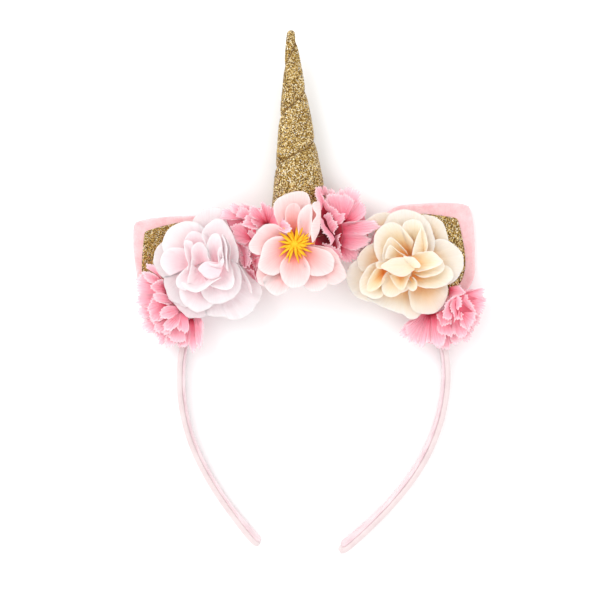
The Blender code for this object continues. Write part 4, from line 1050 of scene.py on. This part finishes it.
# Petals of the carnations, by node, lowest first: root line, rim line (pixels), root height, rim height (mm),
# first share of the cloth's tones, and for the dark sheet under the petals, which paints the shade deep in
# the flower, also the last share
CARNATION_LAYERS = (
    ("carnation_lower_left_1", (
        (((168, 300), (182, 318)), ((166, 281), (156, 275), (147, 276), (141.5, 285), (141, 296), (142, 306),
         (144, 316), (148, 326), (158, 334), (168, 340), (180, 342), (192, 344), (199, 338), (200, 322)), 8.5,
         9.0, 0.15, 0.6),
        (((163, 282), (165, 296)), ((142, 271.5), (139.5, 275), (137.5, 280), (137, 286), (137.5, 292),
         (140, 296)), 9.0, 12.0, 0.3),
        (((166, 296), (168, 304)), ((140, 293), (138, 298), (138.5, 303), (142, 306.5), (147, 308)), 9.0,
         12.2, 0.3),
        (((166, 304), (168, 312)), ((142, 304.5), (139.3, 309), (139.5, 314), (143, 318), (149, 318.5)), 8.9,
         12.0, 0.3),
        (((168, 312), (174, 318)), ((147, 317), (143.3, 321.5), (143, 327.5), (147, 331.5), (152, 333.3),
         (158, 331)), 8.9, 11.8, 0.3),
        (((174, 318), (180, 320)), ((154, 330), (156, 335), (158, 340), (160, 344), (163.5, 343.5),
         (166, 339)), 8.9, 11.6, 0.3),
        (((178, 322), (184, 322)), ((165, 337), (164.7, 342), (167, 346.5), (170.5, 347), (175, 344),
         (179, 345)), 8.9, 11.8, 0.25),
        (((184, 320), (190, 320)), ((177, 342), (179, 346.5), (183, 347.5), (187, 346), (190, 342)), 9.0,
         12.0, 0.2),
        (((190, 316), (193, 316)), ((188, 343), (190, 348), (192.5, 352), (195, 350.5), (197.5, 345)), 9.0,
         12.0, 0.0),
        (((194, 314), (198, 312)), ((196, 345), (199, 348.5), (202, 346), (202.5, 339), (203.3, 332),
         (203.8, 325), (202, 320), (199, 317)), 9.2, 12.4, 0.35),
        (((164, 280), (166, 286)), ((152, 284), (146, 279.5), (142.5, 274), (143, 271.5), (149, 272),
         (156, 275)), 9.4, 12.8, 0.35),
    )),
    ("carnation_lower_left_2", (
        (((176, 318), (184, 318)), ((166, 333), (168, 338), (172, 341.5), (177, 343), (182, 343), (186, 341)),
         10.2, 13.2, 0.2),
        (((170, 314), (178, 318)), ((150, 319), (153, 324), (154, 329.5), (158, 333.5), (162, 332),
         (166, 334), (171, 333)), 10.4, 13.6, 0.3),
        (((168, 300), (170, 308)), ((154, 297), (149.5, 302), (148, 308), (148, 315), (151.5, 320),
         (158, 321), (164, 319)), 10.4, 14.4, 0.15),
        (((165, 284), (166, 292)), ((163, 279.5), (158, 280.5), (153.5, 282.5), (151, 285.5), (152.5, 289.5),
         (156.5, 293), (162, 295.5)), 10.6, 14.8, 0.1),
        (((172, 296), (173, 304)), ((160, 293), (154.5, 293.5), (154.5, 298), (157, 301.5), (162, 303.5),
         (168, 304.5)), 11.0, 16.2, 0.4),
        (((178, 306), (179, 312)), ((168, 305.5), (163.5, 307.5), (161, 311), (160, 315), (163, 318),
         (168, 319), (173, 317)), 11.4, 16.8, 0.4),
        (((178, 312), (182, 314)), ((168, 319.5), (164.5, 323), (163.7, 327), (164.5, 331), (169, 331.7),
         (173, 329.5), (178.5, 325.5)), 11.4, 16.6, 0.45),
        (((181, 312), (188, 316)), ((177.5, 325), (178, 330), (181, 331.5), (184.5, 332), (186.5, 333),
         (188.8, 330), (188.7, 325)), 11.6, 16.0, 0.25),
        (((160, 277), (163, 280)), ((146.5, 268), (147.5, 265), (151.5, 264.3), (155, 267), (157, 271)), 11.0,
         15.0, 0.4),
    )),
    ("carnation_upper_left_1", (
        (((256, 226),), ((264, 208), (252, 208), (242, 208), (232, 209), (225, 213), (226, 221), (231, 230),
         (235, 238), (241, 246), (250, 250), (256, 246)), 12.6, 13.2, 0.12, 0.6),
        (((250, 218), (252, 224)), ((234, 220), (227, 219.5), (221.5, 219), (220.3, 215), (221, 210.5),
         (226, 209), (232, 209.5)), 13.0, 16.4, 0.3),
        (((254, 219), (258, 220)), ((232, 213), (229.5, 208), (229.5, 204), (233, 203.3), (237.5, 205),
         (242, 207)), 13.0, 16.6, 0.3),
        (((258, 220), (262, 220)), ((238, 211), (239.5, 206), (243, 203.5), (247, 205), (250.5, 206.5),
         (253, 210)), 13.0, 16.8, 0.3),
        (((250, 236), (252, 240)), ((242, 224), (236, 223.5), (231, 226.5), (232.5, 232.5), (235, 239),
         (239, 243), (246, 244)), 13.2, 16.4, 0.12),
        (((252, 238), (256, 244)), ((240, 240), (243, 246), (247, 248), (251, 250)), 13.0, 15.4, 0.25),
    )),
    ("carnation_upper_left_2", (
        (((252, 222), (254, 226)), ((236.5, 217), (237, 212), (240, 209), (244, 207.8), (248.5, 210),
         (252, 213)), 14.6, 18.4, 0.35),
        (((265, 224), (270, 224)), ((256, 228), (251, 219), (249.5, 211), (252.5, 205.5), (256, 206.5),
         (259, 209.5), (261, 206), (260.8, 202), (264, 202.5), (267, 205.5), (271, 206.5), (276, 208.5),
         (279.5, 212)), 15.6, 21.4, 0.0),
        (((269, 224, 16.0), (272, 227, 20.0)), ((275, 208.5, 21.2), (281, 213, 22.6), (284, 219, 25.0),
         (288, 222.5, 28.4), (291, 227, 29.0), (290, 231, 29.0), (285.5, 232.8, 28.6), (280, 230, 27.4)),
         15.6, 21.0, 0.1),
        (((261, 220), (262, 226)), ((255, 219), (249.5, 215.3), (245.5, 216.5), (244.5, 221), (243.3, 225),
         (247.5, 227.5), (252.5, 229.3), (257, 229)), 16.4, 22.0, 0.3),
        (((251, 238), (254, 239)), ((247, 233), (249.5, 230.8), (253, 231), (255.5, 234)), 14.0, 18.4, 0.45),
    )),
    ("carnation_middle_1", (
        (((251, 262),), ((236, 242), (238, 250), (240, 260), (244, 270), (250, 280), (257, 286), (262, 280),
         (263, 268), (261, 256), (255, 246), (246, 240)), 8.6, 9.2, 0.15, 0.5),
        (((248, 252), (252, 256)), ((234, 240), (237, 246), (240, 251), (243, 256)), 9.2, 12.4, 0.0),
        (((252, 262), (256, 270)), ((239, 250), (239.5, 256), (241, 262), (244, 268), (246, 273), (249, 279),
         (253, 284), (258, 288), (261, 285), (262, 278)), 9.2, 12.6, 0.12),
        (((256, 252), (258, 264)), ((250, 249), (251, 256), (252, 262), (254, 268), (257, 273)), 10.2, 13.0,
         0.0),
    )),
    ("carnation_middle_2", (
        (((242, 248), (244, 266)), ((247.5, 246.5), (249, 251.5), (249, 257), (248.5, 263), (246, 268.5),
         (242, 266)), 10.8, 16.4, 0.2),
        (((248, 272), (253, 276), (256, 282)), ((246.5, 269.5), (251, 269.5), (254.5, 272.5), (255.5, 278),
         (258, 282)), 12.0, 15.6, 0.4),
        (((254, 262), (256, 262)), ((253.5, 258), (257, 256.5), (260, 258), (258.5, 264), (256.5, 268)), 12.0,
         14.6, 0.2),
        (((247, 250), (248, 257), (248, 264)), ((249, 247), (250, 252), (250, 257), (251.8, 260),
         (250.3, 264.5), (249, 268)), 13.8, 17.0, 0.6),
    )),
    ("carnation_upper_right_1", (
        (((338, 230),), ((326, 197), (338, 193), (350, 192), (357, 197), (362, 208), (366, 222), (369, 232),
         (364, 243), (357, 253), (345, 259), (337, 252)), 8.6, 9.2, 0.1, 0.6),
        # Near-black sheet (tones -0.1 to 0.1): painted shade deep between this carnation and the blossom
        (((326, 234, 18.2),), ((313, 238, 20.6), (312.5, 226, 20.6), (316, 212, 19.6), (325, 206, 16.4),
         (336, 213, 12.5), (342, 226, 11.5), (342, 240, 11.5), (337, 250, 12.6), (326, 249, 16.8),
         (317, 247, 20.0), (313, 239, 20.6)), 15.5, 15.0, -0.1, 0.1),
        (((336, 224), (344, 222)), ((324, 196), (327, 190), (331, 189.5), (336, 191.5), (341, 189.5),
         (345, 187.5), (350, 187.3), (352.5, 190), (356, 190), (360.5, 193), (358.5, 199), (363, 203)), 9.4,
         12.8, 0.3),
        (((324, 200), (326, 202)), ((320.5, 190), (323, 186), (326, 187), (327.5, 191)), 11.4, 14.0, 0.5),
        (((344, 222), (345, 226)), ((348, 205), (354, 203), (360, 201.5), (364, 204.5), (366, 209.5),
         (365, 214.5), (361, 219), (355, 222.5)), 9.8, 13.4, 0.1),
        (((340, 240), (341, 250)), ((362, 248), (359, 253), (357, 258), (352, 261.5), (346, 262.3),
         (341, 260)), 9.0, 11.4, 0.08),
        (((339, 233), (340, 246)), ((356, 233), (362, 234), (367, 235.8), (371, 239.5), (369, 243.5),
         (364, 247), (357, 250), (350, 250)), 9.6, 12.8, 0.05),
        (((338, 224), (338, 234)), ((348, 222), (356, 221.5), (362, 220.6), (368, 220.3), (374, 220.5, 15.4),
         (378, 223, 16.0), (381, 226.5, 16.4), (377, 229.5, 16.2), (371, 232.5, 15.4), (365, 235.5, 14.2)),
         10.2, 14.0, 0.05),
    )),
    ("carnation_upper_right_2", (
        (((338, 222), (346, 220)), ((324, 200), (328, 195), (334, 193.5), (340, 195), (345, 193.5),
         (350, 197), (354, 201), (352, 206)), 11.0, 15.8, 0.15),
        (((335, 236), (336, 242), (337.5, 248)), ((339.5, 234), (338.5, 240), (340.5, 244), (338.5, 249.5)),
         14.6, 17.6, 0.5),
        (((323, 220), (327, 228), (333, 233)), ((324, 215), (328, 214), (332, 215), (333.5, 220),
         (337, 223.5), (338, 227), (335.5, 231), (334, 234.5)), 16.0, 19.2, 0.3),
        (((322, 203), (326, 210), (331, 214), (335, 221), (338, 225)), ((320, 192), (325, 199.5),
         (330, 206.5), (336, 209.5), (339.5, 214), (344, 213.5), (345, 218), (342, 223)), 17.0, 20.4, 0.45),
        (((324, 221), (327, 228), (332, 234), (335, 239)), ((320.5, 217), (320.5, 226), (323.5, 231.5),
         (327, 236), (329, 241), (331, 245.5)), 17.4, 20.4, 0.4),
        (((322, 247), (329, 250), (335, 253.5), (340, 258)), ((320, 243.5), (326, 244), (333, 247),
         (339, 250), (342, 257.5)), 16.0, 19.0, 0.45),
        (((321.5, 210), (323, 203), (323, 194)), ((319.5, 210), (317.5, 201), (315, 193), (316.5, 187.5),
         (320, 186.8), (322, 189)), 18.4, 21.8, 0.5),
    )),
    ("carnation_lower_right_1", (
        (((452, 306),), ((409, 324), (414, 338), (424, 342), (436, 344), (450, 344), (462, 338), (472, 330),
         (478, 318), (482, 306), (482, 294), (470, 290), (452, 287)), 8.5, 9.0, 0.12, 0.6),
        (((424, 312), (428, 312)), ((410, 319.5), (405, 324), (401.5, 329), (400, 334), (403, 336.5),
         (405, 338), (408.5, 335)), 8.8, 11.4, 0.25),
        (((427, 312), (429, 312)), ((405.5, 326), (406, 333), (408, 338.5), (411, 342), (413.5, 338),
         (416, 333)), 8.9, 11.8, 0.15),
        (((428, 312), (430, 312)), ((411, 337), (413, 341.5), (416.5, 344.5), (419, 341), (421, 336)), 8.9,
         11.8, 0.05),
        (((427, 312), (433, 312)), ((417, 339), (418.5, 345), (421, 347), (423.5, 346.5), (425.5, 344),
         (429, 343.5), (433, 344)), 9.0, 12.0, 0.0),
        (((440, 318), (446, 320)), ((433, 344), (437, 347.5), (441, 348.5), (444.5, 349.5), (448.5, 350),
         (450.5, 345)), 8.9, 11.6, 0.25),
        (((448, 316), (454, 316)), ((450, 340), (453, 344), (456, 344.5), (459, 342), (461, 339.5),
         (465, 341), (469, 339.3), (471.5, 334.5)), 8.9, 11.8, 0.25),
        (((456, 308), (460, 312)), ((469, 333), (473, 331.5), (475, 327), (479, 324), (480.3, 319.5),
         (478, 315)), 9.0, 12.2, 0.2),
        (((460, 298), (461, 304)), ((476, 315.5), (481, 313.5), (484, 309.5), (484.3, 306), (486.3, 301),
         (484, 297)), 9.0, 12.4, 0.2),
        (((458, 292), (461, 297)), ((485.5, 301), (483, 295.5), (484, 291), (483.5, 288.3), (477, 289),
         (470, 289.8), (463, 291)), 9.2, 12.8, 0.15),
    )),
    ("carnation_lower_right_2", (
        (((431, 314), (435, 313)), ((431.5, 336), (431, 341), (434, 345), (437.5, 346), (441.5, 346),
         (445, 342.5), (446, 337)), 10.4, 13.8, 0.1),
        (((438, 314), (448, 318)), ((437, 327), (438.5, 332), (442, 334.8), (446, 335.3), (450, 336.5),
         (454, 334)), 10.8, 14.8, 0.15),
        (((452, 314), (457, 314)), ((452, 333), (456, 336), (460, 339), (464, 336), (467, 334), (471, 331)),
         10.8, 14.4, 0.25),
        (((459, 300), (460, 306)), ((478, 316.5), (475, 309.5), (471, 302.5), (467.5, 297), (465, 293.5)),
         11.0, 15.0, 0.2),
        (((459, 308), (460, 312)), ((460, 326), (465, 328.5), (469, 330.5), (472.5, 324), (476, 318),
         (475, 312)), 11.0, 15.6, 0.1),
        (((449, 287), (449, 296)), ((461, 285), (462.5, 289), (465.5, 292.5), (461, 295.5), (455, 297.5),
         (450, 301)), 11.0, 16.6, 0.1),
        (((441, 311), (446, 314)), ((436.5, 315), (439.5, 321.5), (442, 326), (447, 325), (452.5, 321.5)),
         12.0, 17.0, 0.3),
        (((456, 299), (455, 306), (457, 312)), ((453, 299.5), (450.5, 304), (450.5, 309), (452.5, 313),
         (454.5, 318), (454, 322), (457, 318)), 14.0, 17.4, 0.25),
        (((459, 310), (460, 314)), ((457, 318), (461, 320), (463, 319.5), (461, 316), (463.5, 315),
         (461, 312.5)), 14.0, 17.6, 0.45),
        (((451, 301), (449.5, 306), (450, 311), (452.5, 314.5)), ((456, 296.5), (450, 298.5), (446.5, 303),
         (444.5, 308.5), (442.8, 313), (443.5, 318), (447.5, 319.8), (451.5, 318)), 16.0, 19.0, 0.45),
        (((456, 300), (456, 308)), ((457, 295.5), (460, 298), (461.5, 303), (460, 306.5), (457.5, 310)), 16.4,
         19.6, 0.5),
    )),
)


JAG, TOOTH = 2.0, (2.6, 3.4)  # depth and width of the teeth, in pixels


def carnations():
    random.seed(21)
    for node, rows in CARNATION_LAYERS:
        piece = Piece(node + "_cloth", CARNATION, node, "carnation_petal")
        for root, rim, low, high, first, *last in rows:
            reach = sum(math.hypot(b[0] - a[0], b[1] - a[1]) for a, b in zip(rim, rim[1:]))
            # A row with a last share is the dark sheet under the petals: painted shade in the gaps deep in
            # the flower, darkest at its middle
            under = bool(last)
            leaf(piece, root, rim, low, high, lip=0.0 if under else random.uniform(-0.2, 0.3), ruffle=0.2,
                 crease=0.05 if under else 0.24, jag=0.0 if under else JAG,
                 teeth=reach / random.uniform(*TOOTH), span=(first, last[0] if under else 1.0),
                 seed=random.uniform(0, 50), tint=random.uniform(-0.03, 0.05), up=12)
        piece.make(thick=PETAL_THICK)
    top = FRONT + CARNATION_LIFT
    calyx("carnation_upper_left_calyx", "carnation_upper_left_base", "carnation_petal", CARNATION,
          CARNATION_FOOT, ((FRONT, 4.8), (FRONT + 0.4, 5.0), (top - 0.8, 5.0), (top - 0.3, 4.4)))


carnations()


# Stage, camera and lights

FLOOR_HALF, FLOOR_DROP = 3.0, 0.0004
LIGHT_AIM = (0, -0.03, 0)


def stage_floor():
    mesh = bpy.data.meshes.new("floor")
    corners = ((-1, -1), (1, -1), (1, 1), (-1, 1))
    mesh.from_pydata([(x * FLOOR_HALF, y * FLOOR_HALF, -FLOOR_DROP) for x, y in corners], [], [(0, 1, 2, 3)])
    made, tree, bsdf = shader("floor_white", 0.9, level=0.1)
    grain = noise_at(tree, mapped(tree), 3.0, 2.0)
    feed(tree, ramp_of(tree, grain, ((0.3, (0.96, 0.96, 0.96)), (0.7, (0.98, 0.98, 0.98)))),
         bsdf.inputs["Base Color"])
    mesh.materials.append(made)
    thing = bpy.data.objects.new("floor", mesh)
    bpy.context.collection.objects.link(thing)


def area(name, place, size, power):
    """A round soft light in metres, aimed at the middle of the headband."""
    lamp = bpy.data.lights.new(name, "AREA")
    lamp.shape, lamp.size, lamp.energy = "DISK", size, power
    thing = bpy.data.objects.new(name, lamp)
    thing.location = place
    thing.rotation_euler = (Vector(LIGHT_AIM) - Vector(place)).to_track_quat("-Z", "Y").to_euler()
    bpy.context.collection.objects.link(thing)


stage_floor()
world = bpy.data.worlds.new("studio")
bpy.context.scene.world = world
world.use_nodes = True
sky = world.node_tree.nodes["Background"]
sky.inputs["Color"].default_value = (1.0, 1.0, 1.0, 1.0)
sky.inputs["Strength"].default_value = 1.17
bpy.context.scene.view_settings.view_transform = "Standard"
area("key", (-0.80, 0.50, 0.95), 0.85, 4.7)
area("fill", (0.7, -0.4, 1.2), 0.9, 1.0)

camera = bpy.data.cameras.new("camera")
camera.sensor_width = 36.0
camera.lens = camera.sensor_width * (CAMERA[2] - FOCUS) / (PHOTO_WIDE * PIXEL)
camera.clip_start, camera.clip_end = 0.01, 20.0
eye = bpy.data.objects.new("camera", camera)
eye.location = [c * MM for c in CAMERA]
eye.rotation_euler = (0.0, 0.0, math.radians(PHOTO_TURN))
bpy.context.collection.objects.link(eye)
bpy.context.scene.camera = eye
